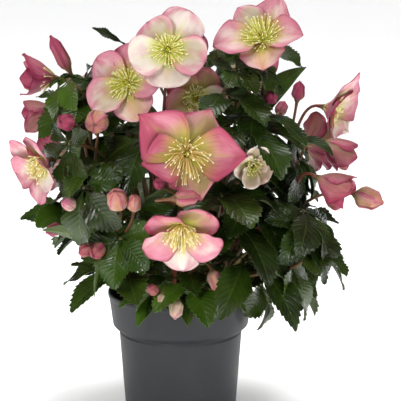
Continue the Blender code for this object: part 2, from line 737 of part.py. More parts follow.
def bract_place(bract, foot):
    """Return the function that places the points of a bract growing from its foot."""
    azimuth = facing(bract.azimuth, 0.0)
    side = Vector((-azimuth.y, azimuth.x, 0.0))
    up = Vector((0.0, 0.0, 1.0))
    start = math.radians(bract.elevation)
    end = math.radians(bract.elevation - bract.droop)
    roll = math.radians(bract.roll)

    def place(along, across):
        swell = math.sin(math.pi * (BRACT_FOOT + (1.0 - BRACT_FOOT) * along) ** 0.8)
        half = 0.5 * bract.width * max(0.0, swell) ** 0.85
        out, rise, pitch = bend(bract.length, start, end, along)
        normal = up * math.cos(pitch) - azimuth * math.sin(pitch)
        edge = side * math.cos(roll) + normal * math.sin(roll)
        face = normal * math.cos(roll) - side * math.sin(roll)
        spine = azimuth * out + up * rise
        lift = BRACT_FOLD * half * abs(across)
        return foot + (spine + edge * (half * across) + face * lift) * MM

    return place


def taper(start, end, count):
    """Return count radii that run evenly from start to end."""
    return [start + (end - start) * step / (count - 1) for step in range(count)]


def stalk_points(fork, arrival, end, axis, steps):
    """Return the points of a thin stalk that leaves the fork and comes up behind a head."""
    neck = end - axis * (NECK_LENGTH * MM)
    span = (neck - fork).length
    lead = (arrival + (neck - fork).normalized() * TURN_SHARE).normalized()
    pull = STALK_PULL * span
    return curve_points(fork, fork + lead * pull, neck - axis * pull, neck, steps)


def make_pedicel(fork, arrival, end, axis):
    """Build the stalk of a bloom, whose end lies square to the bloom's axis."""
    points = stalk_points(fork, arrival, end, axis, 3) + [end]
    return tube("pedicel", points, taper(PEDICEL_RADIUS, NECK_RADIUS, len(points)), 0)


def make_bud(bud, fork, arrival):
    """Build a bud together with its stalk as one tube that swells at its end."""
    axis = facing(bud.azimuth, bud.elevation)
    tip = at(bud.tip)
    base = tip - axis * (bud.length * MM)
    points = stalk_points(fork, arrival, base, axis, 2)
    radii = taper(PEDICEL_RADIUS, NECK_RADIUS, len(points))
    for share, swell in BUD_SHAPE:
        points.append(tip - axis * ((1.0 - share) * bud.length * MM))
        radii.append(0.5 * bud.width * swell)
    return tube("bud", points, radii, 1 if bud.width > SMALL_BUD else 0)


def make_stem(stem):
    """Build a flowering stem with its pedicels, buds and bracts."""
    root = at((*stem.root, SOIL_CROWN_HEIGHT))
    fork = at(stem.fork)
    heads = []
    for bloom in BLOOMS:
        if bloom.name in stem.blooms:
            axis = facing(bloom.azimuth, bloom.elevation)
            heads.append((at(bloom.centre) - axis * (HEAD_SEAT * MM), axis))
    ends = [end for end, axis in heads] + [at(bud.tip) for bud in stem.buds]
    middle = sum(ends, Vector()) / len(ends)
    arrival = ((middle - fork).normalized() + (fork - root).normalized()).normalized()
    span = (fork - root).length
    up = Vector((0.0, 0.0, 1.0))
    points = [root - up * (ROOT_DEPTH * MM)]
    points += curve_points(root, root + up * (0.5 * span), fork - arrival * (0.3 * span), fork, 3)
    radii = taper(STEM_RADIUS, FORK_RADIUS, len(points))
    if heads:
        end, axis = heads.pop(0)
        rest = stalk_points(fork, arrival, end, axis, 3)[1:] + [end]
        points += rest
        radii += taper(PEDICEL_RADIUS, NECK_RADIUS, len(rest))
    pieces = [tube(stem.name, points, radii, 1)]
    node = 1
    for end, axis in heads:
        pieces.append(make_pedicel(fork - arrival * (node * NODE_STEP * MM), arrival, end, axis))
        node += 1
    for bud in stem.buds:
        pieces.append(make_bud(bud, fork - arrival * (node * NODE_STEP * MM), arrival))
        node += 1
    for number, bract in enumerate(stem.bracts):
        foot = fork - arrival * ((number + 0.5) * NODE_STEP * MM)
        bract_bm = sheet(BRACT_STOPS, 2, bract_place(bract, foot))
        pieces.append(make_blade("bract", bract_bm, BRACT_THICKNESS))
    body = fuse(pieces, stem.name)
    keep_main_body(body)
    finish(body, STEM_COLOUR, 0.5)
    return body


def leaflet_half_width(along, width):
    """Return the half width of a leaflet between its teeth."""
    if along <= LEAFLET_BROADEST:
        return 0.5 * width * math.sin(0.5 * math.pi * along / LEAFLET_BROADEST) ** 2.2
    rest = (along - LEAFLET_BROADEST) / (1.0 - LEAFLET_BROADEST)
    return 0.5 * width * max(0.0, 1.0 - rest ** 1.7) ** 0.85


def leaf_sheets(leaf):
    """Return the sheet of the leaflets of a leaf, its hub and the upward side of its fan."""
    rng = random.Random(leaf.seed)
    outward = facing(leaf.azimuth, 0.0)
    hub = (outward * leaf.reach + Vector((0.0, 0.0, leaf.height))) * MM
    side = Vector((-outward.y, outward.x, 0.0))
    tilt = Matrix.Rotation(math.radians(leaf.tilt), 3, side)
    fan = LEAFLET_FANS[leaf.leaflets]
    turns = [angle + rng.uniform(-3, 3) for angle, size in fan]
    corners = [turns[0] - 50.0]
    corners += [0.5 * (first + second) for first, second in zip(turns, turns[1:])]
    corners.append(turns[-1] + 50.0)

    def ray(angle):
        turned_ray = Matrix.Rotation(math.radians(angle), 3, "Z") @ outward
        return tilt @ turned_ray

    leaf_bm = bmesh.new()
    up = tilt @ Vector((0.0, 0.0, 1.0))
    for number, (angle, size) in enumerate(fan):
        along_ray = ray(turns[number])
        across_ray = ray(turns[number] + 90.0)
        length = leaf.length * size * rng.uniform(0.93, 1.05)
        width = leaf.width * size * rng.uniform(0.94, 1.06)
        start = math.radians(leaf.rise + rng.uniform(-5, 5))
        end = start - math.radians(leaf.droop + rng.uniform(-8, 8))
        fold = rng.uniform(*LEAFLET_FOLD)
        wave = rng.uniform(*LEAFLET_WAVE)
        phase = rng.uniform(0, 2 * math.pi)
        stops = LEAF_STOPS if size == 1.0 and leaf.leaflets == 5 else SIDE_LEAF_STOPS
        left = hub + ray(corners[number]) * (LEAF_HUB_RADIUS * MM)
        right = hub + ray(corners[number + 1]) * (LEAF_HUB_RADIUS * MM)

        def place(along, across):
            if along == 0.0:
                return hub if across == 0 else (left if across < 0 else right)
            half = leaflet_half_width(along, width)
            if along in LEAF_NOTCHES:
                half *= NOTCH_SHARE
            out, rise, pitch = bend(length, start, end, along)
            normal = up * math.cos(pitch) - along_ray * math.sin(pitch)
            lift = half * fold * abs(across)
            lift += half * wave * math.sin(LEAFLET_RIPPLE * along + phase) * across
            spine = along_ray * out + up * rise
            return hub + (spine + across_ray * (half * across) + normal * lift) * MM

        add_sheet(leaf_bm, sheet(stops, 2, place))
    return leaf_bm, hub, up


def leaf_root(leaf):
    """Return the place of a leaf's stalk on the soil, in millimetres."""
    outward = facing(leaf.azimuth, 0.0)
    return outward.x * LEAF_ROOT_RADIUS, outward.y * LEAF_ROOT_RADIUS


def leaf_stalk(leaf, hub, up):
    """Return the points of a leaf's stalk, from under the soil to inside its hub."""
    rise = Vector((0.0, 0.0, 1.0))
    root = at((*leaf_root(leaf), SOIL_CROWN_HEIGHT))
    span = (hub - root).length
    end = hub - up * (0.5 * LEAF_THICKNESS * MM)
    points = [root - rise * (ROOT_DEPTH * MM)]
    points += curve_points(root, root + rise * (0.45 * span), end - up * (0.35 * span), end, 4)
    return points


def companion_stalk(points, hub, up):
    """Return the points of an upper leaf's stalk, which branches off a lower leaf's stalk."""
    start = points[COMPANION_NODE]
    end = hub - up * (0.5 * LEAF_THICKNESS * MM)
    span = (end - start).length
    lead = Vector((0.0, 0.0, 0.35 * span))
    return curve_points(start, start + lead, end - up * (0.3 * span), end, 3)


def make_leaf(leaf):
    """Build a leaf, and a companion that branches off its stalk where it has one."""
    leaf_bm, hub, up = leaf_sheets(leaf)
    points = leaf_stalk(leaf, hub, up)
    radii = taper(PETIOLE_RADIUS, 0.8 * PETIOLE_RADIUS, len(points))
    pieces = [tube("stalk", points, radii, 0), make_blade("blade", leaf_bm, LEAF_THICKNESS)]
    if leaf.name in COMPANIONS:
        upper = COMPANIONS[leaf.name]
        upper_bm, upper_hub, upper_up = leaf_sheets(upper)
        path = companion_stalk(points, upper_hub, upper_up)
        radii = taper(0.8 * PETIOLE_RADIUS, 0.7 * PETIOLE_RADIUS, len(path))
        pieces.append(tube("stalk", path, radii, 0))
        pieces.append(make_blade("blade", upper_bm, LEAF_THICKNESS))
    body = fuse(pieces, leaf.name)
    keep_main_body(body)
    finish(body, LEAF_COLOUR, 0.35)
    return body


def main():
    """Build every piece of the potted hellebore."""
    for thing in list(bpy.data.objects):
        bpy.data.objects.remove(thing)
    group = bpy.data.collections.new(OBJECT_NAME)
    bpy.context.scene.collection.children.link(group)
    roots = [(*stem.root, STEM_RADIUS) for stem in STEMS]
    roots += [(*leaf_root(leaf), PETIOLE_RADIUS) for leaf in LEAVES]
    make_pot()
    make_soil(roots)
    for stem in STEMS:
        make_stem(stem)
    for leaf in LEAVES:
        make_leaf(leaf)
    for bloom in BLOOMS:
        make_bloom(bloom)
        if bloom.filament_length:
            make_stamens(bloom)


main()
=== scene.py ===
"""Potted hellebore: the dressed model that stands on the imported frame.

Plans give millimetres and degrees, and what is built is in metres. The origin is the centre of
the pot's underside, +Z is up and -Y is the front. Azimuths run from the front towards +X, and
elevations run up from level.
"""

import logging
import math
import random
from dataclasses import dataclass, field
from enum import Enum
from typing import Callable, Optional, Sequence, Union

import bmesh
import bpy
from mathutils import Matrix, Vector, noise


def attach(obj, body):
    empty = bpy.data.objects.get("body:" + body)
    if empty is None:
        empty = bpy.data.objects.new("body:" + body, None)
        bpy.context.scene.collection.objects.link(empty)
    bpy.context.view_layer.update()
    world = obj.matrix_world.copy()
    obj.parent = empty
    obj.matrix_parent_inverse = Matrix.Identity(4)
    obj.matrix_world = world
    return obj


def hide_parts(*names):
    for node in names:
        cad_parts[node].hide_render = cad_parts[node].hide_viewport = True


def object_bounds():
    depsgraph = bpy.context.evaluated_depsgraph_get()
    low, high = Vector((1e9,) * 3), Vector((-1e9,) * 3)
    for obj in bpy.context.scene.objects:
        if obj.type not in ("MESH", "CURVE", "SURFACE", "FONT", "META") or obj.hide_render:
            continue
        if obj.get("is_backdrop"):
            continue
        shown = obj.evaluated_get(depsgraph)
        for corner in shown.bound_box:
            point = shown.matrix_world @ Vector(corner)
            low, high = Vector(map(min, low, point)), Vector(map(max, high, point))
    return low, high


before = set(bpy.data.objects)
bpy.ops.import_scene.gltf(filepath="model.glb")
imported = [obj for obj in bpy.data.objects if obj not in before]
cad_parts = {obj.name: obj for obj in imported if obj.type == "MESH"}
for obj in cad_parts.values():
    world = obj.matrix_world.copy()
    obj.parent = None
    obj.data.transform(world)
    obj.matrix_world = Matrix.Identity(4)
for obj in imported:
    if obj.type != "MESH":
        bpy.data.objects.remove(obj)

CAD_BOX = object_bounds()
LOG = logging.getLogger("hellebore")
MM = 0.001
UP = Vector((0.0, 0.0, 1.0))
TURN = 2 * math.pi
PHASE_LIMIT = 6.28
GOLDEN_TURN = 137.508
SOIL = 114.0
ROOT_DEPTH = 16.0
TUBE_WELD = 0.002
TURNED_WELD = 0.005
BLADE_WELD = 0.01
FALLING = (1.0, 0.0)
GLOSS_BAND = (0.2, 0.8)

Triple = tuple[float, float, float]
Colour = Triple
Shares = tuple[float, float, float, float]
Span = tuple[float, float]
Part = bmesh.types.BMesh
Body = bpy.types.Object
Finish = bpy.types.Material
Place = Callable[[float, float], Vector]
Tint = Callable[[float, float], Shares]
Socket = bpy.types.NodeSocket
Value = Union[Socket, float, Triple]
Path = tuple[Sequence[Vector], Sequence[float]]


class Tone(Enum):
    """Shares of pink, of olive green and of peach in the colour of a tepal."""

    ROSE = (0.82, 0.0, 0.05)
    PINK = (0.62, 0.0, 0.1)
    BLUSH = (0.16, 0.06, 0.0)
    CREAM = (0.08, 0.2, 0.1)
    OLIVE = (0.5, 0.85, 0.2)
    DUSKY = (0.62, 0.4, 0.35)
    PEACH = (0.24, 0.1, 0.9)
    SHELL = (0.38, 0.0, 0.06)
    BUTTER = (0.0, 0.44, 0.36)
    SAGE = (0.26, 0.5, 0.0)
    WHITE = (0.08, 0.0, 0.0)


ROSE, PINK, BLUSH, CREAM, OLIVE, DUSKY, PEACH, SHELL, BUTTER, SAGE, WHITE = Tone


@dataclass(frozen=True)
class BloomPlan:
    """Where a bloom faces, and how its tepals are cut and bent."""

    name: str
    centre: Triple
    azimuth: float
    elevation: float
    length: float
    width: float
    base_pitch: float
    tip_pitch: float
    roll: float
    filament_length: float
    seed: int
    slot: str
    tones: tuple[Tone, ...]
    point: float = 0.35
    droop: float = 0.14
    ring: float = 1.2
    stretch: tuple[float, ...] = (1.0,) * 5
    turns: tuple[float, ...] = (0.0,) * 5


@dataclass(frozen=True)
class BudPlan:
    """A closed bud at the end of its own stalk."""

    tip: Triple
    azimuth: float
    elevation: float
    length: float
    width: float
    tone: Tone


@dataclass(frozen=True)
class BractPlan:
    """A plain-edged leaf that grows from a fork."""

    azimuth: float
    elevation: float
    length: float
    width: float
    droop: float
    roll: float
    fresh: float


@dataclass(frozen=True)
class StemPlan:
    """A flowering stem: its root on the soil, its fork, and what it bears."""

    name: str
    root: Span
    fork: Triple
    blooms: tuple[str, ...]
    buds: tuple[BudPlan, ...]
    bracts: tuple[BractPlan, ...]
    late_buds: tuple[BudPlan, ...] = ()


@dataclass(frozen=True)
class LeafPlan:
    """A fan of toothed leaflets, and the upper leaf that branches off its stalk.

    Only a leaf that stands for a CAD node has a name.
    """

    azimuth: float
    reach: float
    height: float
    length: float
    width: float
    tilt: float
    rise: float
    droop: float
    leaflets: int
    seed: int
    fresh: float
    upper: Optional["LeafPlan"] = None
    roll: float = 0.0
    name: str = ""


BLOOMS = (
    BloomPlan("bloom_01", (-10, -75, 367), 0, 18, 37, 35, 56, 88, 35, 12, 1,
              "tepal_pale", (BLUSH, SAGE, CREAM, WHITE, SAGE),
              point=0.0, ring=1.3, stretch=(1.06, 1.0, 1.0, 1.02, 0.86)),
    BloomPlan("bloom_02", (-47, -50, 333), -15, 20, 36, 33, 50, 84, 12, 12, 2,
              "tepal_pink", (PINK, SHELL, PEACH, SAGE, SHELL),
              point=0.3, ring=1.35, stretch=(1.0, 1.1, 1.12, 1.1, 0.96)),
    BloomPlan("bloom_03", (77, -30, 371), -15, 36, 43, 34, 48, 80, 24, 14, 3,
              "tepal_pink", (SHELL, SHELL, PEACH, SHELL, SAGE),
              point=0.6, droop=0.0, ring=1.45, stretch=(0.95, 1.1, 1.16, 1.14, 0.84)),
    BloomPlan("bloom_04", (7, -122, 281), 5, 14, 49, 41, 54, 90, 28, 16, 4,
              "tepal_pink", (OLIVE, ROSE, OLIVE, ROSE, ROSE),
              point=0.95, droop=0.4, ring=1.45, stretch=(0.94, 1.12, 0.9, 0.92, 1.2),
              turns=(3.0, -3.0, -6.0, 16.0, -4.0)),
    BloomPlan("bloom_05", (-122, -55, 262), -50, -15, 38, 33, 42, 74, 30, 12, 5,
              "tepal_pale", (SHELL, BLUSH, SHELL, SHELL, SHELL),
              point=0.3, droop=0.3, ring=1.3, stretch=(1.0, 1.0, 1.0, 0.94, 0.94)),
    BloomPlan("bloom_06", (3, -120, 216), 0, -35, 40, 36, 48, 88, 36, 12, 6,
              "tepal_pale", (OLIVE, SHELL, BLUSH, SHELL, PINK),
              point=0.15, droop=0.3, ring=1.35),
    BloomPlan("bloom_07", (134, -38, 309), 60, -10, 37, 32, 38, 66, 0, 11, 7,
              "tepal_pink", (SHELL, SHELL, CREAM, BLUSH, PINK),
              point=0.8, stretch=(1.26, 1.0, 0.92, 0.92, 1.1)),
    # bloom_08's olive, sage and dusky tones are partly its own colour and partly painted shade, made darker
    # for the shadow it sits in behind bloom_01 and bloom_04.
    BloomPlan("bloom_08", (14, -22, 316), 8, 12, 32, 29, 50, 78, 30, 10, 8,
              "tepal_pale", (OLIVE, CREAM, SAGE, OLIVE, DUSKY)),
    BloomPlan("bloom_09", (64, -84, 264), 20, 0, 24, 22, 34, 46, 0, 8, 9,
              "tepal_pale", (BUTTER,) * 5,
              point=0.1, ring=1.3, stretch=(1.16, 0.84, 0.98, 1.16, 1.2)),
    BloomPlan("bloom_10", (128, -66, 248), 70, -25, 36, 31, 46, 4, 10, 0, 10,
              "tepal_dusky", (DUSKY, PINK, DUSKY, ROSE, DUSKY)),
    BloomPlan("bloom_11", (-118, 4, 330), -85, 5, 36, 31, 40, 22, 18, 11, 11,
              "tepal_pink", (PINK, ROSE, PINK, OLIVE, PINK), point=0.6),
    BloomPlan("bloom_12", (-122, 38, 292), -110, -10, 33, 29, 42, 6, 0, 0, 12,
              "tepal_dusky", (DUSKY, ROSE, DUSKY, DUSKY, PINK)),
    BloomPlan("bloom_13", (138, 6, 268), 110, -35, 34, 30, 44, 8, 0, 0, 13,
              "tepal_dusky", (DUSKY, DUSKY, ROSE, DUSKY, OLIVE)),
    BloomPlan("bloom_14", (-66, 100, 300), 200, 18, 37, 33, 52, 84, 12, 12, 14,
              "tepal_pink", (PINK, BLUSH, OLIVE, PINK, ROSE)),
    BloomPlan("bloom_15", (62, 106, 322), 165, 20, 38, 33, 50, 82, 0, 12, 15,
              "tepal_pale", (BLUSH, CREAM, OLIVE, BLUSH, PINK)),
    BloomPlan("bloom_16", (-6, 62, 348), 175, 48, 36, 32, 50, 84, 24, 12, 16,
              "tepal_pink", (ROSE, PINK, PINK, OLIVE, PINK)),
    BloomPlan("bloom_17", (122, 76, 252), 125, 0, 35, 31, 40, 74, 8, 11, 17,
              "tepal_dusky", (DUSKY, PINK, DUSKY, ROSE, OLIVE)),
    BloomPlan("bloom_18", (-116, 84, 236), 235, -10, 35, 31, 38, 72, 30, 11, 18,
              "tepal_pink", (PINK, ROSE, BLUSH, PINK, OLIVE)),
    BloomPlan("bloom_19", (8, 126, 236), 180, -20, 34, 30, 42, 16, 16, 0, 19,
              "tepal_dusky", (DUSKY, DUSKY, PINK, DUSKY, ROSE),
              stretch=(0.92,) * 5),
)

STEMS = (
    StemPlan("stem_left_top", (-20, 8), (-88, 10, 268), ("bloom_11", "bloom_12"),
             (BudPlan((-122, -2, 372), -90, 62, 38, 15, ROSE),),
             (BractPlan(-79, 54, 58, 30, 29, -58, 0.9), BractPlan(-102, 12, 55, 12, 37, 53, 0.5),
              BractPlan(-4, 27, 58, 26, 103, -24, 0.3),)),
    StemPlan("stem_left", (-24, -8), (-83, -40, 245), ("bloom_05",),
             (BudPlan((-108, -76, 302), -30, 10, 18, 18, ROSE),
              BudPlan((-76, -92, 302), -5, 0, 26, 24, PEACH),),
             (BractPlan(8, 17, 56, 28, 85, -37, 0.35), BractPlan(-33, 19, 54, 28, 95, -41, 0.5),)),
    StemPlan("stem_left_low", (-24, -22), (-62, -62, 184), (),
             (BudPlan((-57, -122, 248), -12, 50, 24, 21, PEACH),
              BudPlan((-39, -117, 243), 8, 54, 20, 14, PEACH),
              BudPlan((-106, -92, 232), -40, 25, 17, 14, BLUSH),
              BudPlan((-124, -66, 196), -60, -15, 17, 14, PINK),
              BudPlan((-78, -100, 182), -20, -20, 19, 16, DUSKY),),
             (BractPlan(-78, 25, 70, 28, 18, 46, 0.3), BractPlan(-24, 13, 65, 24, 98, 61, 0.5),),
             (BudPlan((-92, -94, 184), -50, -10, 17, 15, DUSKY),
              BudPlan((-104, -76, 212), -60, 30, 12, 9, PINK),)),
    StemPlan("stem_centre_top", (-6, -8), (-16, -30, 282), ("bloom_01", "bloom_02", "bloom_08"),
             (),
             (BractPlan(-112, 42, 71, 28, 7, 81, 0.2), BractPlan(1, 40, 62, 18, 4, 37, 0.45),
              BractPlan(18, 15, 64, 28, 55, 56, 0.3),)),
    StemPlan("stem_front", (6, -22), (12, -66, 226), ("bloom_04", "bloom_09"),
             (BudPlan((-19, -124, 256), -10, 20, 15, 12, ROSE),
              BudPlan((20, -151, 249), 99, 3, 24, 17, DUSKY),),
             (BractPlan(-58, 37, 54, 28, 52, 29, 0.2), BractPlan(64, 32, 65, 28, 61, -19, 0.45),)),
    StemPlan("stem_front_low", (2, -38), (-5, -64, 147), ("bloom_06",),
             (BudPlan((-25, -124, 216), -20, 0, 20, 16, PEACH),
              BudPlan((-28, -94, 152), -30, 30, 14, 12, DUSKY),
              BudPlan((37, -98, 148), 30, -50, 22, 16, PEACH),
              BudPlan((-4, -96, 122), -10, -60, 18, 15, BUTTER),),
             (BractPlan(-66, 4, 47, 24, 64, 35, 0.2), BractPlan(51, -8, 48, 24, 29, -27, 0.45),
              BractPlan(-42, 0, 46, 20, 48, 17, 0.3), BractPlan(18, 4, 47, 22, 68, -1, 0.35),),
             (BudPlan((-18, -94, 134), -15, -45, 12, 9, BUTTER),)),
    StemPlan("stem_right_top", (14, 2), (74, -16, 300), ("bloom_03",),
             (BudPlan((86, -50, 318), 10, 0, 22, 14, ROSE),),
             (BractPlan(-114, 34, 63, 30, 34, -86, 0.2), BractPlan(103, 67, 71, 24, 42, 41, 0.45),
              BractPlan(58, -48, 42, 30, 9, -19, 0.3),)),
    StemPlan("stem_right", (24, -8), (100, -20, 262), ("bloom_07",),
             (BudPlan((112, -26, 332), 20, 70, 20, 14, ROSE),),
             (BractPlan(58, 58, 59, 28, 104, 2, 0.2), BractPlan(149, 4, 49, 26, 51, 87, 0.45),)),
    StemPlan("stem_right_side", (28, 6), (98, -24, 206), ("bloom_10", "bloom_13"),
             (BudPlan((190, -44, 219), 75, -15, 28, 24, PEACH),),
             (BractPlan(34, -4, 45, 28, 35, -79, 0.2), BractPlan(2, -7, 46, 26, 60, 30, 0.45),)),
    StemPlan("stem_back_left", (-14, 26), (-74, 66, 232), ("bloom_14", "bloom_18"),
             (BudPlan((-98, 110, 272), 220, 30, 18, 14, PINK),),
             (BractPlan(255, 57, 56, 30, 67, 45, 0.2), BractPlan(274, 49, 60, 28, 67, 37, 0.45),
              BractPlan(123, 53, 67, 28, 93, 34, 0.3),)),
    StemPlan("stem_back_right", (14, 26), (70, 62, 236), ("bloom_15", "bloom_17"),
             (BudPlan((104, 104, 292), 150, 40, 18, 14, PINK),),
             (BractPlan(112, 9, 53, 30, 102, 58, 0.2), BractPlan(191, 16, 44, 28, 52, 84, 0.45),
              BractPlan(34, 43, 62, 26, 53, 37, 0.3),)),
    StemPlan("stem_back_top", (0, 16), (2, 60, 268), ("bloom_16", "bloom_19"),
             (BudPlan((-32, 92, 340), 200, 40, 18, 14, PINK),),
             (BractPlan(171, 64, 67, 30, 60, -12, 0.2), BractPlan(245, -15, 50, 28, 86, -67, 0.45),
              BractPlan(340, 18, 61, 28, 38, -81, 0.3),)),
)

LEAVES = (
    LeafPlan(48, 81, 168, 90, 36, 30, 14, 62, 5, 29, 0.15,
             LeafPlan(67, 66, 262, 68, 34, 26, 14, 49, 3, 28, 0.2), name="leaf_01"),
    LeafPlan(37, 81, 208, 80, 36, 22, 14, 52, 5, 22, 0.1,
             LeafPlan(11, 72, 149, 62, 30, 12, 14, 60, 3, 23, 0.75), name="leaf_02"),
    LeafPlan(-47, 69, 157, 74, 34, 13, 14, 48, 5, 16, 0.3,
             LeafPlan(-21, 49, 199, 64, 32, 7, 14, 69, 3, 27, 0.4), name="leaf_03"),
    LeafPlan(-98, 75, 233, 75, 34, 37, 14, 31, 5, 54, 0.2,
             LeafPlan(-77, 58, 303, 66, 34, 13, 14, 57, 3, 38, 0.35), name="leaf_04"),
    LeafPlan(-26, 62, 284, 70, 34, 26, 14, 58, 5, 12, 0.15,
             LeafPlan(-74, 60, 329, 62, 32, 16, 14, 48, 3, 33, 0.3), name="leaf_05"),
    LeafPlan(42, 83, 297, 78, 36, 21, 14, 61, 5, 4, 0.2,
             LeafPlan(44, 59, 322, 62, 32, 16, 14, 52, 3, 26, 0.3), name="leaf_06"),
    LeafPlan(92, 101, 180, 84, 36, 29, 14, 53, 5, 12, 0.2,
             LeafPlan(111, 79, 281, 70, 34, 28, 14, 42, 3, 39, 0.3), name="leaf_07"),
    LeafPlan(101, 81, 144, 84, 36, 27, 14, 62, 5, 37, 0.1,
             LeafPlan(96, 33, 271, 62, 28, 12, 14, 70, 3, 31, 0.35), name="leaf_08"),
    LeafPlan(147, 76, 177, 86, 38, 18, 14, 56, 5, 24, 0.15,
             LeafPlan(139, 87, 222, 76, 34, 35, 14, 57, 3, 9, 0.25), name="leaf_09"),
    LeafPlan(190, 79, 158, 88, 38, 16, 14, 58, 5, 16, 0.1,
             LeafPlan(174, 82, 244, 76, 34, 23, 14, 56, 3, 24, 0.25), name="leaf_10"),
    LeafPlan(245, 81, 181, 66, 38, 23, 14, 45, 5, 10, 0.2,
             LeafPlan(199, 82, 219, 76, 34, 26, 14, 65, 3, 59, 0.3), name="leaf_11"),
    LeafPlan(-104, 78, 214, 67, 36, 30, 14, 50, 5, 24, 0.15,
             LeafPlan(267, 66, 207, 74, 34, 37, 14, 35, 3, 52, 0.3), name="leaf_12"),
)

INNER_LEAVES = (
    LeafPlan(64, 128, 215, 67, 36, 40, 8, 59, 5, 40, 0.12),
    LeafPlan(59, 129, 205, 60, 30, 55, 14, 48, 5, 28, 0.08),
    LeafPlan(-46, 120, 243, 59, 35, 71, 8, 61, 5, 67, 0.2),
    LeafPlan(99, 106, 156, 62, 34, 36, 8, 62, 5, 7, 0.1),
    LeafPlan(77, 114, 254, 60, 32, 74, 8, 48, 5, 88, 0.08),
    LeafPlan(27, 84, 235, 70, 38, 6, 8, 50, 5, 45, 0.16),
    LeafPlan(-68, 110, 335, 46, 29, 50, 8, 44, 3, 45, 0.6),
    LeafPlan(-28, 82, 220, 61, 33, 63, 20, 56, 5, 6, 0.25),
    LeafPlan(-96, 62, 273, 46, 36, 23, 14, 68, 5, 37, 0.24),
    LeafPlan(56, 81, 303, 68, 29, 5, 8, 64, 5, 54, 0.11),
    LeafPlan(77, 78, 135, 47, 32, 62, 8, 73, 3, 80, 0.19),
    LeafPlan(9, 47, 157, 61, 28, 6, 8, 29, 5, 83, 0.45),
    LeafPlan(-46, 98, 262, 51, 31, 19, 14, 61, 3, 49, 0.4),
    LeafPlan(65, 133, 179, 49, 30, 9, 14, 62, 5, 64, 0.09),
    LeafPlan(-97, 99, 197, 62, 34, -4, 14, 43, 5, 2, 0.8, roll=-26),
    LeafPlan(-63, 38, 211, 53, 29, 10, 8, 53, 5, 87, 0.28),
    LeafPlan(85, 104, 263, 57, 33, 41, 8, 68, 5, 31, 0.26),
    LeafPlan(89, 97, 209, 56, 33, 27, 20, 23, 5, 32, 0.25),
    LeafPlan(68, 114, 158, 54, 34, 68, 8, 31, 5, 38, 0.25),
    LeafPlan(45, 88, 229, 72, 33, 36, 8, 42, 5, 20, 0.32),
    LeafPlan(-32, 101, 196, 50, 32, 67, 14, 34, 5, 52, 0.5),
    LeafPlan(-79, 85, 314, 60, 34, 32, 14, 38, 3, 30, 0.95, roll=-22),
    LeafPlan(182, 76, 257, 64, 32, 34, 8, 50, 5, 46, 0.24),
    LeafPlan(217, 70, 173, 64, 34, 18, 8, 28, 5, 23, 0.27),
    LeafPlan(210, 33, 154, 48, 30, 34, 8, 40, 3, 43, 0.27),
    LeafPlan(212, 76, 254, 51, 33, 42, 14, 48, 5, 77, 0.08),
    LeafPlan(217, 34, 270, 48, 30, 12, 14, 64, 5, 20, 0.21),
    LeafPlan(141, 53, 142, 67, 30, -10, 20, 65, 5, 60, 0.22),
    LeafPlan(257, 61, 142, 53, 29, 5, 8, 12, 5, 42, 0.18),
    LeafPlan(172, 51, 208, 55, 35, 77, 8, 32, 5, 27, 0.1),
    LeafPlan(114, 84, 206, 69, 34, 37, 14, 41, 5, 59, 0.17),
    LeafPlan(170, 69, 249, 69, 37, 51, 20, 36, 5, 60, 0.08),
    LeafPlan(105, 98, 230, 48, 35, 20, 8, 44, 5, 28, 0.28),
    LeafPlan(88, 44, 274, 64, 33, 43, 8, 52, 5, 38, 0.27),
    LeafPlan(250, 91, 248, 69, 28, 67, 8, 44, 5, 33, 0.19),
    LeafPlan(137, 48, 165, 48, 37, 71, 14, 38, 5, 4, 0.13),
    LeafPlan(242, 83, 249, 49, 30, 27, 20, 57, 5, 83, 0.28),
    LeafPlan(176, 88, 189, 69, 34, 62, 20, 60, 5, 79, 0.2),
    LeafPlan(46, 70, 345, 37, 26, 36, 20, 36, 5, 1, 0.15),
    LeafPlan(125, 43, 340, 35, 27, -49, 8, 41, 5, 45, 0.18),
    LeafPlan(134, 65, 318, 26, 26, 79, 14, 44, 5, 36, 0.26),
    LeafPlan(-85, 85, 329, 43, 24, -16, 8, 70, 3, 61, 0.16),
    LeafPlan(68, 85, 342, 32, 27, 45, 14, 50, 5, 44, 0.17),
    LeafPlan(-101, 93, 299, 50, 26, -22, 8, 34, 5, 38, 0.19),
    LeafPlan(-85, 81, 344, 46, 16, 69, 14, 47, 3, 56, 0.09),
    LeafPlan(-65, 58, 290, 26, 16, 26, 20, 66, 5, 25, 0.17),
    LeafPlan(-55, 122, 281, 50, 24, 83, 20, 34, 5, 65, 0.19),
    LeafPlan(63, 56, 310, 33, 18, 78, 14, 12, 3, 6, 0.23),
    LeafPlan(-24, 56, 134, 42, 13, 24, 10, 44, 5, 9, 0.9),
    LeafPlan(-79, 51, 363, 36, 10, 0, 34, 12, 1, 3, 0.0, roll=-50),
    LeafPlan(92, 84, 350, 36, 18, 0, 24, 90, 1, 5, 0.3, roll=42),
)


def paint(red: int, green: int, blue: int) -> Colour:
    """Turn a screen colour of 0 to 255 a channel into a linear one."""
    shares = (red / 255.0, green / 255.0, blue / 255.0)
    return tuple(((share + 0.055) / 1.055) ** 2.4 if share > 0.04 else share / 12.92 for share in shares)


def at(point: Sequence[float]) -> Vector:
    """Turn a point in millimetres into a vector in metres."""
    return Vector(point) * MM


def facing(azimuth: float, elevation: float) -> Vector:
    """Return the unit vector of an azimuth and an elevation."""
    turn = math.radians(azimuth)
    lift = math.radians(elevation)
    level = math.cos(lift)
    return Vector((math.sin(turn) * level, -math.cos(turn) * level, math.sin(lift)))


def sideways(direction: Vector) -> Vector:
    """Return the level vector at the left of a level direction."""
    return Vector((-direction.y, direction.x, 0.0))


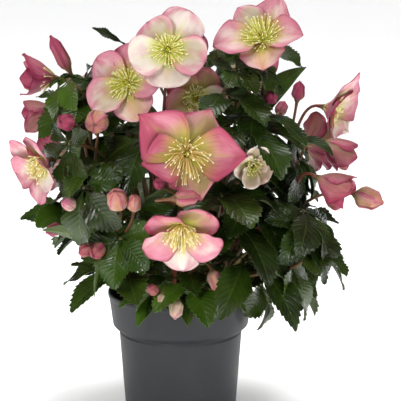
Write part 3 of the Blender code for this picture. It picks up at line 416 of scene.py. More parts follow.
def head_frame(centre: Sequence[float], azimuth: float, elevation: float) -> Matrix:
    """Return the frame of a head: X to its right, Y up and Z out along its axis."""
    axis = facing(azimuth, elevation)
    turn = math.radians(azimuth)
    right = Vector((math.cos(turn), math.sin(turn), 0.0))
    head = Matrix((right, axis.cross(right), axis)).transposed().to_4x4()
    head.translation = at(centre)
    return head


def around(turn: float, radius: float, height: float) -> Vector:
    """Return a point of a head's frame, turned clockwise from its top."""
    angle = math.radians(turn)
    return Vector((radius * math.sin(angle), radius * math.cos(angle), height))


def bend(length: float, start: float, end: float, along: float) -> Triple:
    """Follow a strip whose pitch turns evenly.

    Args:
        length: length of the strip.
        start: pitch from level at its start, in radians.
        end: pitch from level at its end, in radians.
        along: share of the length.

    Returns:
        How far the strip has run level and up, and its pitch there.
    """
    change = end - start
    pitch = start + change * along
    level = length * (math.sin(pitch) - math.sin(start)) / change
    up = length * (math.cos(start) - math.cos(pitch)) / change
    return level, up, pitch


def curve_points(start: Vector, lead: Vector, follow: Vector, end: Vector,
                 steps: int) -> list[Vector]:
    """Return points along a cubic curve with the four given control points."""
    points = []
    for step in range(steps + 1):
        t = step / steps
        u = 1.0 - t
        points.append(start * u ** 3 + lead * 3 * u * u * t + follow * 3 * u * t * t + end * t ** 3)
    return points


def taper(start: float, end: float, count: int) -> list[float]:
    """Return count radii that run evenly from start to end."""
    return [start + (end - start) * step / (count - 1) for step in range(count)]


def ease(value: float, low: float, high: float) -> float:
    """Rise smoothly from 0 at low to 1 at high."""
    share = min(1.0, max(0.0, (value - low) / (high - low)))
    return share * share * (3.0 - 2.0 * share)


def crease(across: float, softness: float, middle: float) -> float:
    """Return the height of a V with a rounded bottom, lowered by its height in the middle."""
    return math.sqrt(across * across + softness) - middle


def even(shares: Shares) -> Tint:
    """Return the function that gives one tint everywhere."""
    return lambda along, across: shares


def plain(share: float) -> Shares:
    """Return a tint of which only the first share is set."""
    return share, 0.0, 0.0, 0.0


def new_part() -> Part:
    """Return an empty mesh with the surface map and the tint that every piece carries."""
    part = bmesh.new()
    part.loops.layers.uv.new("surface")
    part.verts.layers.float_color.new("tint")
    return part


def colour_part(part: Part, shares: Shares) -> None:
    """Give every point of a part one tint."""
    layer = part.verts.layers.float_color["tint"]
    for vert in part.verts:
        vert[layer] = shares


def smooth(part: Part) -> None:
    """Shade every face of a part smooth."""
    for face in part.faces:
        face.smooth = True


def to_mesh(name: str, part: Part) -> bpy.types.Mesh:
    """Return the finished mesh of a part, and free the part."""
    mesh = bpy.data.meshes.new(name)
    part.to_mesh(mesh)
    part.free()
    return mesh


def new_object(name: str, data: bpy.types.ID) -> Body:
    """Return a new object that stands in the scene."""
    made = bpy.data.objects.new(name, data)
    bpy.context.scene.collection.objects.link(made)
    return made


def evaluated(body: Body) -> bpy.types.Mesh:
    """Return the mesh of an object as its bevel or its modifiers shape it."""
    bpy.context.view_layer.update()
    shown = body.evaluated_get(bpy.context.evaluated_depsgraph_get())
    return bpy.data.meshes.new_from_object(shown)


def turned(outline: Sequence[Span], sides: int) -> Part:
    """Turn an outline about the vertical axis.

    Args:
        outline: radius and height of each point, in millimetres.
        sides: number of sides of the round.

    Returns:
        The smooth mesh.
    """
    part = new_part()
    verts = [part.verts.new((radius * MM, 0.0, height * MM)) for radius, height in outline]
    edges = [part.edges.new(pair) for pair in zip(verts, verts[1:])]
    bmesh.ops.spin(part, geom=verts + edges, cent=(0, 0, 0), axis=UP, dvec=(0, 0, 0),
                   angle=TURN, steps=sides, use_merge=True)
    bmesh.ops.remove_doubles(part, verts=part.verts, dist=TURNED_WELD * MM)
    bmesh.ops.recalc_face_normals(part, faces=part.faces)
    smooth(part)
    return part


def tubes(paths: Sequence[Path], fineness: int, share: float) -> Part:
    """Build closed tubes along paths of points.

    Args:
        paths: points in metres and radii in millimetres of each tube.
        fineness: 0 gives four sides, 1 gives six, 2 gives eight and 3 gives ten.
        share: first share of their tint.

    Returns:
        The mesh of all the tubes.
    """
    curve = bpy.data.curves.new("tube", "CURVE")
    curve.dimensions = "3D"
    curve.bevel_depth = MM
    curve.bevel_resolution = fineness
    curve.use_fill_caps = True
    for points, radii in paths:
        spline = curve.splines.new("POLY")
        spline.points.add(len(points) - 1)
        for spot, point, radius in zip(spline.points, points, radii):
            spot.co = (*point, 1.0)
            spot.radius = radius
    carrier = new_object("tube", curve)
    mesh = evaluated(carrier)
    while mesh.uv_layers:
        mesh.uv_layers.remove(mesh.uv_layers[0])
    part = new_part()
    part.from_mesh(mesh)
    bpy.data.objects.remove(carrier)
    bpy.data.curves.remove(curve)
    bpy.data.meshes.remove(mesh)
    bmesh.ops.remove_doubles(part, verts=part.verts, dist=TUBE_WELD * MM)
    for face in part.faces:
        face.material_index = 0
    smooth(part)
    colour_part(part, plain(share))
    return part


def bead(part: Part, middle: Vector, axis: Vector, length: float, width: float) -> None:
    """Add a small stretched bead of twenty faces to a part.

    Args:
        part: mesh that the bead is added to.
        middle: centre of the bead, in metres.
        axis: direction of its length.
        length: length of the bead, in millimetres.
        width: width of the bead, in millimetres.
    """
    turn = UP.rotation_difference(axis).to_matrix().to_4x4()
    size = Matrix.Diagonal((width * 0.5 * MM, width * 0.5 * MM, length * 0.5 * MM, 1.0))
    spot = Matrix.Translation(middle) @ turn @ size
    made = bmesh.ops.create_icosphere(part, subdivisions=1, radius=1.0, matrix=spot)
    for vert in made["verts"]:
        for face in vert.link_faces:
            face.smooth = True


def knots(places: Sequence[tuple[Vector, Vector]], size: Span, share: float) -> Part:
    """Build the swellings where stalks meet.

    Args:
        places: centre in metres and direction of each knot.
        size: length and width of a knot, in millimetres.
        share: first share of their tint.

    Returns:
        The mesh of all the knots.
    """
    part = new_part()
    for middle, axis in places:
        bead(part, middle, axis, *size)
    colour_part(part, plain(share))
    return part


def spindle(foot: Vector, out: Vector, reach: float, stations: Sequence[Span]) -> Path:
    """Return the path of a straight tube with a radius at each share of its reach."""
    points = [(foot + out * share * reach) * MM for share, radius in stations]
    return points, [radius for share, radius in stations]


@dataclass(frozen=True)
class Blade:
    """A thin petal or leaf that grows from a grid, with a face, a back and a rim.

    The face takes the first material of its piece and the back takes the second.
    """

    rows: int
    columns: int
    thickness: float
    margin_share: float
    crowding: float = 1.0
    margin_power: float = 6.0

    def build(self, place: Place, tint: Tint) -> Part:
        """Build the blade.

        Args:
            place: point in metres for a share along (0 to 1) and across (-1 to 1).
            tint: tint for the same shares.

        Returns:
            The closed mesh of the blade.
        """
        part = new_part()
        bmesh.ops.create_grid(part, x_segments=self.rows, y_segments=self.columns, size=0.5)
        surface = part.loops.layers.uv["surface"]
        tone = part.verts.layers.float_color["tint"]
        depths = []
        for vert in part.verts:
            row = min(1.0, max(0.0, vert.co.x + 0.5))
            along = 1.0 - (1.0 - row) ** self.crowding
            across = min(1.0, max(-1.0, 2.0 * vert.co.y))
            vert[tone] = tint(along, across)
            for loop in vert.link_loops:
                loop[surface].uv = (0.5 + 0.5 * across, along)
            vert.co = place(along, across)
            thinning = (1.0 - self.margin_share) * across ** self.margin_power
            depths.append(self.thickness * (1.0 - thinning) * MM)
        smooth(part)
        part.normal_update()
        originals = list(part.verts)
        sunk = [vert.co - vert.normal * depth for vert, depth in zip(originals, depths)]
        bmesh.ops.extrude_face_region(part, geom=list(part.faces), use_keep_orig=True)
        for vert, point in zip(originals, sunk):
            vert.co = point
        own = set(originals)
        for face in part.faces:
            held = sum(1 for vert in face.verts if vert in own)
            face.material_index = 1 if held else 0
            if 0 < held < len(face.verts):
                for edge in face.edges:
                    edge.smooth = False
        bmesh.ops.remove_doubles(part, verts=part.verts, dist=BLADE_WELD * MM)
        bmesh.ops.dissolve_degenerate(part, edges=part.edges, dist=BLADE_WELD * MM)
        bmesh.ops.recalc_face_normals(part, faces=part.faces)
        return part


class Piece:
    """Gathers meshes into one object that rides on the body and stands for CAD nodes."""

    def __init__(self, name: str) -> None:
        """Start an empty piece."""
        self.name = name
        self.whole = new_part()
        self.materials: list[Finish] = []

    def add(self, part: Part, *materials: Finish,
            spot: Optional[Matrix] = None) -> None:
        """Move a mesh into the piece.

        Args:
            part: mesh to move in, which is freed.
            materials: materials that its faces number.
            spot: frame that the mesh is placed by.
        """
        if spot is not None:
            bmesh.ops.transform(part, matrix=spot, verts=part.verts)
        for material in materials:
            if material not in self.materials:
                self.materials.append(material)
        slots = [self.materials.index(material) for material in materials]
        for face in part.faces:
            face.material_index = slots[min(face.material_index, len(slots) - 1)]
        mesh = to_mesh("part", part)
        self.whole.from_mesh(mesh)
        bpy.data.meshes.remove(mesh)

    def close(self, slot: str, *nodes: str) -> Body:
        """Make the object.

        Args:
            slot: material slot of the record, which is not used.
            nodes: CAD nodes that the piece stands for.

        Returns:
            The finished object.
        """
        mesh = to_mesh(self.name, self.whole)
        for material in self.materials:
            mesh.materials.append(material)
        body = new_object(self.name, mesh)
        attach(body, "root")
        if nodes:
            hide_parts(*nodes)
        LOG.info("%s: %d faces for %s", self.name, len(mesh.polygons), ", ".join(nodes) or "itself")
        return body


@dataclass(frozen=True)
class Grain:
    """Noise of about one over scale metres in the object's own space."""

    scale: float
    detail: float = 2.0
    stretch: Triple = (1.0, 1.0, 1.0)


class Shade:
    """One procedural material, built from linked nodes."""

    def __init__(self, name: str, settings: dict[str, float]) -> None:
        """Start a material.

        Args:
            name: name of the material.
            settings: constant values of the shader's sockets.
        """
        self.material = bpy.data.materials.new(name)
        self.material.use_nodes = True
        self.tree = self.material.node_tree
        self.shader = self.tree.nodes["Principled BSDF"]
        for socket, value in settings.items():
            self.shader.inputs[socket].default_value = value

    def feed(self, socket: Socket, value: Value) -> None:
        """Link a value to a socket, or set it there."""
        if isinstance(value, bpy.types.NodeSocket):
            self.tree.links.new(value, socket)
        elif socket.type == "RGBA":
            socket.default_value = (*value, 1.0)
        else:
            socket.default_value = value

    def node(self, kind: str, inputs: dict[Union[str, int], Value], **settings: object) -> bpy.types.Node:
        """Add a node.

        Args:
            kind: kind of the node, without its prefix.
            inputs: value of each input.
            settings: properties of the node.

        Returns:
            The node.
        """
        made = self.tree.nodes.new("ShaderNode" + kind)
        for name, value in settings.items():
            setattr(made, name, value)
        for socket, value in inputs.items():
            self.feed(made.inputs[socket], value)
        return made

    def calc(self, operation: str, *values: Value) -> Socket:
        """Return the result of a sum on values."""
        return self.node("Math", dict(enumerate(values)), operation=operation).outputs[0]

    def times(self, first: Value, second: Value) -> Socket:
        """Return the product of two values."""
        return self.calc("MULTIPLY", first, second)

    def line(self, value: Value, factor: Value, start: Value) -> Socket:
        """Return start plus factor times the value."""
        return self.calc("MULTIPLY_ADD", value, factor, start)

    def greater(self, first: Value, second: Value) -> Socket:
        """Return the greater of two values."""
        return self.calc("MAXIMUM", first, second)

    def mix(self, share: Value, first: Value, second: Value) -> Socket:
        """Return a blend of two colours."""
        inputs = {0: share, 6: first, 7: second}
        return self.node("Mix", inputs, data_type="RGBA").outputs[2]

    def step(self, value: Value, band: Span, results: Span = (0.0, 1.0)) -> Socket:
        """Return a value that runs smoothly from one result to the other across a band."""
        inputs = {0: value, 1: band[0], 2: band[1], 3: results[0], 4: results[1]}
        return self.node("MapRange", inputs, interpolation_type="SMOOTHSTEP").outputs[0]

    def grain(self, grain: Grain) -> Socket:
        """Return the value of a grain."""
        spot = self.node("TexCoord", {}).outputs["Object"]
        if grain.stretch != (1.0, 1.0, 1.0):
            spot = self.node("Mapping", {"Vector": spot, "Scale": grain.stretch}).outputs[0]
        inputs = {"Vector": spot, "Scale": grain.scale, "Detail": grain.detail}
        return self.node("TexNoise", inputs).outputs[0]

    def cells(self, scale: float) -> Socket:
        """Return the distance to the edge of a net of cells in the object's own space."""
        spot = self.node("TexCoord", {}).outputs["Object"]
        inputs = {"Vector": spot, "Scale": scale}
        return self.node("TexVoronoi", inputs, feature="DISTANCE_TO_EDGE").outputs[0]

    def surface(self) -> tuple[Socket, Socket, Socket]:
        """Return the share of the width, the share of the length and the share off the middle."""
        spot = self.node("UVMap", {}, uv_map="surface").outputs[0]
        parts = self.node("SeparateXYZ", {0: spot})
        off = self.calc("ABSOLUTE", self.line(parts.outputs[0], 2.0, -1.0))
        return parts.outputs[0], parts.outputs[1], off

    def tint(self) -> tuple[Socket, Socket, Socket, Socket]:
        """Return the four shares of the tint."""
        held = self.node("Attribute", {}, attribute_name="tint")
        parts = self.node("SeparateColor", {0: held.outputs["Color"]})
        return parts.outputs[0], parts.outputs[1], parts.outputs[2], held.outputs["Alpha"]

    def close(self, colour: Value, roughness: Optional[Value] = None, height: Optional[Value] = None,
              depth: float = 0.0) -> Finish:
        """Link the results to the shader.

        Args:
            colour: colour of the surface.
            roughness: roughness, where it varies.
            height: relief, in shares of the depth.
            depth: depth of that relief in millimetres.

        Returns:
            The finished material.
        """
        self.feed(self.shader.inputs["Base Color"], colour)
        if roughness is not None:
            self.feed(self.shader.inputs["Roughness"], roughness)
        if height is not None:
            bump = self.node("Bump", {"Height": height, "Strength": 1.0, "Distance": depth * MM})
            self.feed(self.shader.inputs["Normal"], bump.outputs[0])
        return self.material


@dataclass(frozen=True)
class PotPlastic:
    """Moulded dark grey plastic with a satin skin, faint scuffs and a little dust."""

    skin: Colour = paint(46, 47, 50)
    worn: Colour = paint(60, 61, 64)
    dust: Colour = paint(96, 93, 86)
    clouds: Grain = Grain(26.0, 4.0)
    scuffs: Grain = Grain(60.0, 5.0, (1.0, 1.0, 7.0))
    pores: Grain = Grain(2600.0)
    specks: Grain = Grain(190.0, 6.0)
    worn_band: Span = (0.35, 0.75)
    worn_share: float = 0.5
    scuff_band: Span = (0.58, 0.74)
    scuff_share: float = 0.22
    speck_band: Span = (0.62, 0.8)
    speck_share: float = 0.14
    roughness: Span = (0.44, 0.58)
    pore_depth: float = 0.05
    specular: float = 0.3

    def build(self) -> Finish:
        """Return the material."""
        shade = Shade("pot_plastic", {"Specular IOR Level": self.specular})
        cloud = shade.grain(self.clouds)
        scuffs = shade.step(shade.grain(self.scuffs), self.scuff_band)
        pores = shade.grain(self.pores)
        worn = shade.step(cloud, self.worn_band, (0.0, self.worn_share))
        colour = shade.mix(worn, self.skin, self.worn)
        colour = shade.mix(shade.times(scuffs, self.scuff_share), colour, self.worn)
        specks = shade.step(shade.grain(self.specks), self.speck_band, (0.0, self.speck_share))
        colour = shade.mix(specks, colour, self.dust)
        roughness = shade.step(cloud, GLOSS_BAND, self.roughness)
        return shade.close(colour, roughness, pores, self.pore_depth)


@dataclass(frozen=True)
class CompostCrumb:
    """Dark, damp potting compost with paler fibres."""

    damp: Colour = paint(38, 28, 21)
    dry: Colour = paint(84, 64, 46)
    fibre: Colour = paint(120, 96, 68)
    lumps: Grain = Grain(170.0, 6.0)
    fibres: Grain = Grain(300.0, 2.0, (1.0, 5.0, 1.0))
    dry_band: Span = (0.35, 0.72)
    fibre_band: Span = (0.66, 0.76)
    fibre_share: float = 0.5
    lump_depth: float = 1.6
    roughness: float = 0.92
    specular: float = 0.25

    def build(self) -> Finish:
        """Return the material."""
        settings = {"Roughness": self.roughness, "Specular IOR Level": self.specular}
        shade = Shade("compost_crumb", settings)
        lumps = shade.grain(self.lumps)
        fibres = shade.step(shade.grain(self.fibres), self.fibre_band)
        colour = shade.mix(shade.step(lumps, self.dry_band), self.damp, self.dry)
        colour = shade.mix(shade.times(fibres, self.fibre_share), colour, self.fibre)
        return shade.close(colour, height=lumps, depth=self.lump_depth)


@dataclass(frozen=True)
class StemSkin:
    """Smooth red-brown skin, greener on the upper stalks, with fine streaks."""

    red: Colour = paint(132, 52, 40)
    brown: Colour = paint(86, 40, 30)
    green: Colour = paint(116, 124, 62)
    streaks: Grain = Grain(900.0, 3.0, (1.0, 1.0, 0.08))
    clouds: Grain = Grain(70.0, 3.0)
    red_band: Span = (0.35, 0.7)
    green_band: Span = (0.25, 0.7)
    green_shares: Span = (0.35, 1.0)
    roughness: Span = (0.34, 0.5)
    streak_depth: float = 0.12
    specular: float = 0.5

    def build(self) -> Finish:
        """Return the material."""
        shade = Shade("stem_skin", {"Specular IOR Level": self.specular})
        share = shade.tint()[0]
        streaks = shade.grain(self.streaks)
        cloud = shade.grain(self.clouds)
        colour = shade.mix(shade.step(streaks, self.red_band), self.brown, self.red)
        greener = shade.times(share, shade.step(cloud, self.green_band, self.green_shares))
        colour = shade.mix(greener, colour, self.green)
        roughness = shade.step(cloud, GLOSS_BAND, self.roughness)
        return shade.close(colour, roughness, streaks, self.streak_depth)


@dataclass(frozen=True)
class LeafSkin:
    """A leaf's face or back: ribs that rise towards the teeth, and a fine net between them."""

    name: str
    dark: Colour
    fresh: Colour
    rib: Colour
    roughness: Span
    relief: float
    ribs_shown: float
    olive: Colour = paint(104, 98, 44)
    shadow: Colour = paint(12, 20, 8)
    clouds: Grain = Grain(46.0, 4.0)
    gloss: Grain = Grain(120.0, 3.0)
    net_scale: float = 520.0
    rib_count: float = 11.0
    rib_slant: float = 2.6
    rib_band: Span = (0.0, 0.13)
    midrib_band: Span = (0.015, 0.075)
    net_band: Span = (0.0, 0.07)
    cloud_band: Span = (0.25, 0.78)
    cloud_shift: Span = (-0.14, 0.2)
    swell_shift: float = 0.1
    olive_share: float = 0.6
    shadow_share: float = 0.4
    rib_share: float = 0.5
    midrib_share: float = 1.6
    net_share: float = 0.4
    rib_height: float = -0.5
    midrib_height: float = -0.7
    net_height: float = -0.16
    swell_height: float = 0.5
    specular: float = 0.42

    def build(self) -> Finish:
        """Return the material."""
        shade = Shade(self.name, {"Specular IOR Level": self.specular})
        _, along, off = shade.surface()
        fresh, olive, dim, _ = shade.tint()
        cloud = shade.grain(self.clouds)
        slanted = shade.line(off, -self.rib_slant, shade.times(along, self.rib_count))
        to_rib = shade.calc("PINGPONG", slanted, 0.5)
        ribs = shade.step(to_rib, self.rib_band, FALLING)
        swell = shade.step(to_rib, (0.0, 0.5))
        midrib = shade.step(off, self.midrib_band, FALLING)
        net = shade.step(shade.cells(self.net_scale), self.net_band, FALLING)
        freshness = shade.calc("ADD", fresh, shade.step(cloud, self.cloud_band, self.cloud_shift))
        freshness = shade.line(swell, self.swell_shift, freshness)
        freshness = shade.greater(shade.calc("MINIMUM", freshness, 1.0), 0.0)
        colour = shade.mix(freshness, self.dark, self.fresh)
        colour = shade.mix(shade.times(olive, self.olive_share), colour, self.olive)
        lines = shade.greater(ribs, shade.times(net, self.net_share))
        shown = shade.times(lines, self.rib_share * self.ribs_shown)
        midline = shade.times(midrib, self.midrib_share * self.ribs_shown)
        colour = shade.mix(shade.greater(shown, midline), colour, self.rib)
        dimness = shade.step(dim, (0.0, 1.0), (0.0, self.shadow_share))
        colour = shade.mix(dimness, colour, self.shadow)
        height = shade.line(ribs, self.rib_height, shade.times(swell, self.swell_height))
        height = shade.line(net, self.net_height, height)
        height = shade.line(midrib, self.midrib_height, height)
        roughness = shade.step(shade.grain(self.gloss), GLOSS_BAND, self.roughness)
        return shade.close(colour, roughness, height, self.relief)


@dataclass(frozen=True)
class TepalSkin:
    """A tepal's face or back: green heart, cream to rose body, dark rim and fine veins.

    One side of each tepal, picked at random, stays greener than the other, which takes a pink flush.
    """

    name: str
    heart: Colour
    cream: Colour
    pink: Colour
    rose: Colour
    rim: Colour
    olive: Colour
    peach: Colour
    heart_reach: Span
    flush: float
    vein: float
    vein_net: Triple = (40.0, 1.6, 40.0)
    wash_net: Triple = (4.0, 2.4, 77.0)
    wash_band: Span = (0.3, 0.7)
    wash_shift: Span = (-0.14, 0.16)
    edge_band: Span = (0.5, 1.0)
    tip_band: Span = (0.7, 1.0)
    flush_gain: Span = (1.2, 0.3)
    side_band: Span = (0.25, 0.95)
    side_flush: float = 0.2
    foot_band: Span = (0.1, 0.55)
    foot_shift: Span = (-0.16, 0.0)
    pink_band: Span = (0.05, 0.6)
    rose_band: Span = (0.55, 1.1)
    peach_band: Span = (0.15, 0.9)
    peach_shares: Span = (0.75, 0.1)
    olive_band: Span = (0.1, 0.95)
    olive_shares: Span = (1.0, 0.1)
    olive_side_band: Span = (0.25, 0.85)
    olive_side_shares: Span = (1.0, 0.35)
    vein_band: Span = (0.46, 0.66)
    vein_gain: Span = (0.7, 0.2)
    rim_band: Span = (0.88, 1.0)
    rim_tip_band: Span = (0.955, 1.0)
    rim_gain: Span = (0.6, 0.12)
    midline_band: Span = (0.0, 0.16)
    midline_reach: Span = (0.35, 0.9)
    midline_shares: Span = (0.7, 0.0)
    heart_shares: Span = (0.95, 0.0)
    heart_ragged: Span = (0.22, 0.12)
    heart_olive: float = 0.6
    vein_height: float = 0.6
    wash_height: float = 0.8
    roughness: Span = (0.42, 0.58)
    depth: float = 0.22

    def strands(self, shade: Shade, net: Triple) -> Socket:
        """Return noise stretched along the tepal, another one for each tepal."""
        across, along, _ = shade.surface()
        shares = (across, along, shade.tint()[3])
        inputs = {axis: shade.times(share, scale) for axis, (share, scale) in enumerate(zip(shares, net))}
        spot = shade.node("CombineXYZ", inputs).outputs[0]
        return shade.node("TexNoise", {"Vector": spot, "Scale": 1.0, "Detail": 3.0}).outputs[0]

    def build(self) -> Finish:
        """Return the material."""
        settings = {"Specular IOR Level": 0.3, "Subsurface Weight": 0.12,
                    "Subsurface Scale": 0.002, "Sheen Weight": 0.06, "Sheen Roughness": 0.4}
        shade = Shade(self.name, settings)
        across, along, off = shade.surface()
        pinkness, green, warmth, number = shade.tint()
        veins = self.strands(shade, self.vein_net)
        washes = self.strands(shade, self.wash_net)
        # The tepal's number picks at random which side is greener and which is pinker.
        greener_side = shade.calc("GREATER_THAN", number, 0.5)
        side = shade.calc("ABSOLUTE", shade.calc("SUBTRACT", across, greener_side))
        edge = shade.greater(shade.step(off, self.edge_band), shade.step(along, self.tip_band))
        share = shade.calc("ADD", pinkness, shade.step(washes, self.wash_band, self.wash_shift))
        ready = shade.line(pinkness, *self.flush_gain)
        side_flush = shade.times(shade.step(side, self.side_band), self.side_flush)
        share = shade.line(shade.line(edge, self.flush, side_flush), ready, share)
        share = shade.calc("ADD", share, shade.step(along, self.foot_band, self.foot_shift))
        colour = shade.mix(shade.step(share, self.pink_band), self.cream, self.pink)
        colour = shade.mix(shade.step(share, self.rose_band), colour, self.rose)
        warm = shade.times(warmth, shade.step(off, self.peach_band, self.peach_shares))
        colour = shade.mix(warm, colour, self.peach)
        inside = shade.times(green, shade.step(edge, self.olive_band, self.olive_shares))
        inside = shade.times(inside, shade.step(side, self.olive_side_band, self.olive_side_shares))
        colour = shade.mix(inside, colour, self.olive)
        lines = shade.times(shade.step(veins, self.vein_band), self.vein)
        lines = shade.times(lines, shade.line(share, *self.vein_gain))
        colour = shade.mix(lines, colour, self.rim)
        fringe = shade.greater(shade.step(off, self.rim_band), shade.step(along, self.rim_tip_band))
        fringe = shade.times(fringe, shade.line(share, *self.rim_gain))
        colour = shade.mix(fringe, colour, self.rim)
        middle = shade.times(shade.step(off, self.midline_band, self.midline_shares),
                             shade.step(along, self.midline_reach, self.midline_shares))
        by_vein, by_edge = self.heart_ragged
        ragged = shade.line(veins, by_vein, shade.line(off, by_edge, along))
        star = shade.step(ragged, self.heart_reach, self.heart_shares)
        heart = shade.mix(shade.times(pinkness, self.heart_olive), self.heart, self.olive)
        colour = shade.mix(shade.greater(middle, star), colour, heart)
        relief = shade.line(veins, self.vein_height, shade.times(washes, self.wash_height))
        roughness = shade.step(washes, GLOSS_BAND, self.roughness)
        return shade.close(colour, roughness, relief, self.depth)


@dataclass(frozen=True)
class Thread:
    """The skin of a small flower part, which runs from one colour to another."""

    name: str
    first: Colour
    second: Colour
    scale: float
    roughness: float
    depth: float = 0.1
    aged: Optional[Colour] = None
    band: Span = (0.34, 0.66)

    def build(self) -> Finish:
        """Return the material."""
        settings = {"Roughness": self.roughness, "Subsurface Weight": 0.1, "Subsurface Scale": 0.001}
        shade = Shade(self.name, settings)
        cloud = shade.grain(Grain(self.scale, 3.0))
        colour = shade.mix(shade.step(cloud, self.band), self.first, self.second)
        if self.aged:
            colour = shade.mix(shade.tint()[0], colour, self.aged)
        return shade.close(colour, height=cloud, depth=self.depth)


class Palette:
    """All the finishes of the plant, built once."""

    def __init__(self) -> None:
        """Build every finish."""
        self.pot = PotPlastic().build()
        self.compost = CompostCrumb().build()
        self.stem = StemSkin().build()
        self.leaf = LeafSkin(
            "leaf_face", dark=paint(12, 22, 6), fresh=paint(70, 106, 22), rib=paint(98, 128, 56),
            roughness=(0.11, 0.24), relief=0.26, ribs_shown=0.18).build()
        self.leaf_back = LeafSkin(
            "leaf_back", dark=paint(60, 78, 42), fresh=paint(112, 138, 72), rib=paint(140, 152, 100),
            roughness=(0.5, 0.62), relief=-0.5, ribs_shown=0.7).build()
        self.tepal = TepalSkin(
            "tepal_face", heart=paint(208, 222, 62), cream=paint(238, 226, 214),
            pink=paint(216, 142, 160), rose=paint(178, 74, 102), rim=paint(134, 40, 76),
            olive=paint(142, 130, 62), peach=paint(222, 172, 122),
            heart_reach=(0.28, 0.78), flush=0.3, vein=0.22).build()
        self.tepal_back = TepalSkin(
            "tepal_back", heart=paint(138, 132, 74), cream=paint(228, 206, 188),
            pink=paint(198, 108, 134), rose=paint(164, 58, 92), rim=paint(118, 34, 62),
            olive=paint(124, 108, 66), peach=paint(206, 146, 102),
            heart_reach=(0.1, 0.36), flush=0.4, vein=0.55).build()
        self.filament = Thread("filament", paint(240, 240, 112), paint(252, 246, 172), 600.0, 0.45,
                               aged=paint(240, 204, 142)).build()
        self.anther = Thread("anther", paint(242, 230, 164), paint(254, 248, 220), 1500.0, 0.75,
                             depth=0.2).build()
        self.nectary = Thread("nectary", paint(222, 234, 60), paint(242, 242, 104), 500.0, 0.4).build()
        self.carpel = Thread("carpel", paint(226, 230, 86), paint(242, 236, 112), 400.0, 0.45).build()
        self.style = Thread("style", paint(104, 26, 30), paint(140, 60, 44), 400.0, 0.45).build()


@dataclass
class NurseryPot:
    """The pot: a turned shell with a beaded rim, a band, a groove and drain holes."""

    palette: Palette
    sides: int = 96
    corner_steps: int = 3
    corner_limit: float = 0.45
    drain_holes: int = 6
    drain_ring: float = 36.0
    drain_radius: float = 5.0
    drain_sides: int = 24
    pin_length: float = 10.0
    profile: tuple[Triple, ...] = (
        (0.0, 0.0, 0.0), (51.6, 0.0, 1.4), (53.1, 2.0, 1.2), (59.3, 84.6, 0.5), (58.6, 85.6, 0.4),
        (58.7, 87.0, 0.4), (60.2, 87.7, 0.7), (65.3, 92.0, 1.2), (69.0, 119.6, 0.5),
        (69.9, 120.6, 0.6), (70.0, 124.4, 0.8), (68.4, 125.0, 0.6), (67.7, 124.2, 0.5),
        (56.8, 87.5, 2.0), (51.0, 2.5, 2.0), (0.0, 2.5, 0.0),
    )

    def outline(self) -> list[Span]:
        """Return the profile with each corner rounded by its third number."""
        points = [self.profile[0][:2]]
        for before, corner, after in zip(self.profile, self.profile[1:], self.profile[2:]):
            here = Vector(corner[:2])
            ends = []
            for other in (before, after):
                arm = Vector(other[:2]) - here
                ends.append(here + arm.normalized() * min(corner[2], self.corner_limit * arm.length))
            for step in range(self.corner_steps + 1):
                t = step / self.corner_steps
                points.append(tuple(ends[0] * (1 - t) ** 2 + here * 2 * t * (1 - t) + ends[1] * t * t))
        points.append(self.profile[-1][:2])
        return points

    def build(self) -> Body:
        """Build and dress the pot."""
        piece = Piece("nursery_pot")
        piece.add(turned(self.outline(), self.sides), self.palette.pot)
        body = piece.close("pot", "pot")
        self.drill(body)
        return body

    def drill(self, body: Body) -> None:
        """Cut the drain holes through the pot's floor."""
        pins = bmesh.new()
        radius = self.drain_radius * MM
        for number in range(self.drain_holes):
            turn = TURN * (number + 0.5) / self.drain_holes
            middle = at((self.drain_ring * math.cos(turn), self.drain_ring * math.sin(turn), 0.0))
            bmesh.ops.create_cone(pins, cap_ends=True, segments=self.drain_sides, radius1=radius,
                                  radius2=radius, depth=self.pin_length * MM,
                                  matrix=Matrix.Translation(middle))
        cutter = new_object("pins", to_mesh("pins", pins))
        bore = body.modifiers.new("bore", "BOOLEAN")
        bore.operation = "DIFFERENCE"
        bore.object = cutter
        bore.solver = "EXACT"
        cut = evaluated(body)
        body.modifiers.clear()
        body.data = cut
        bpy.data.objects.remove(cutter)


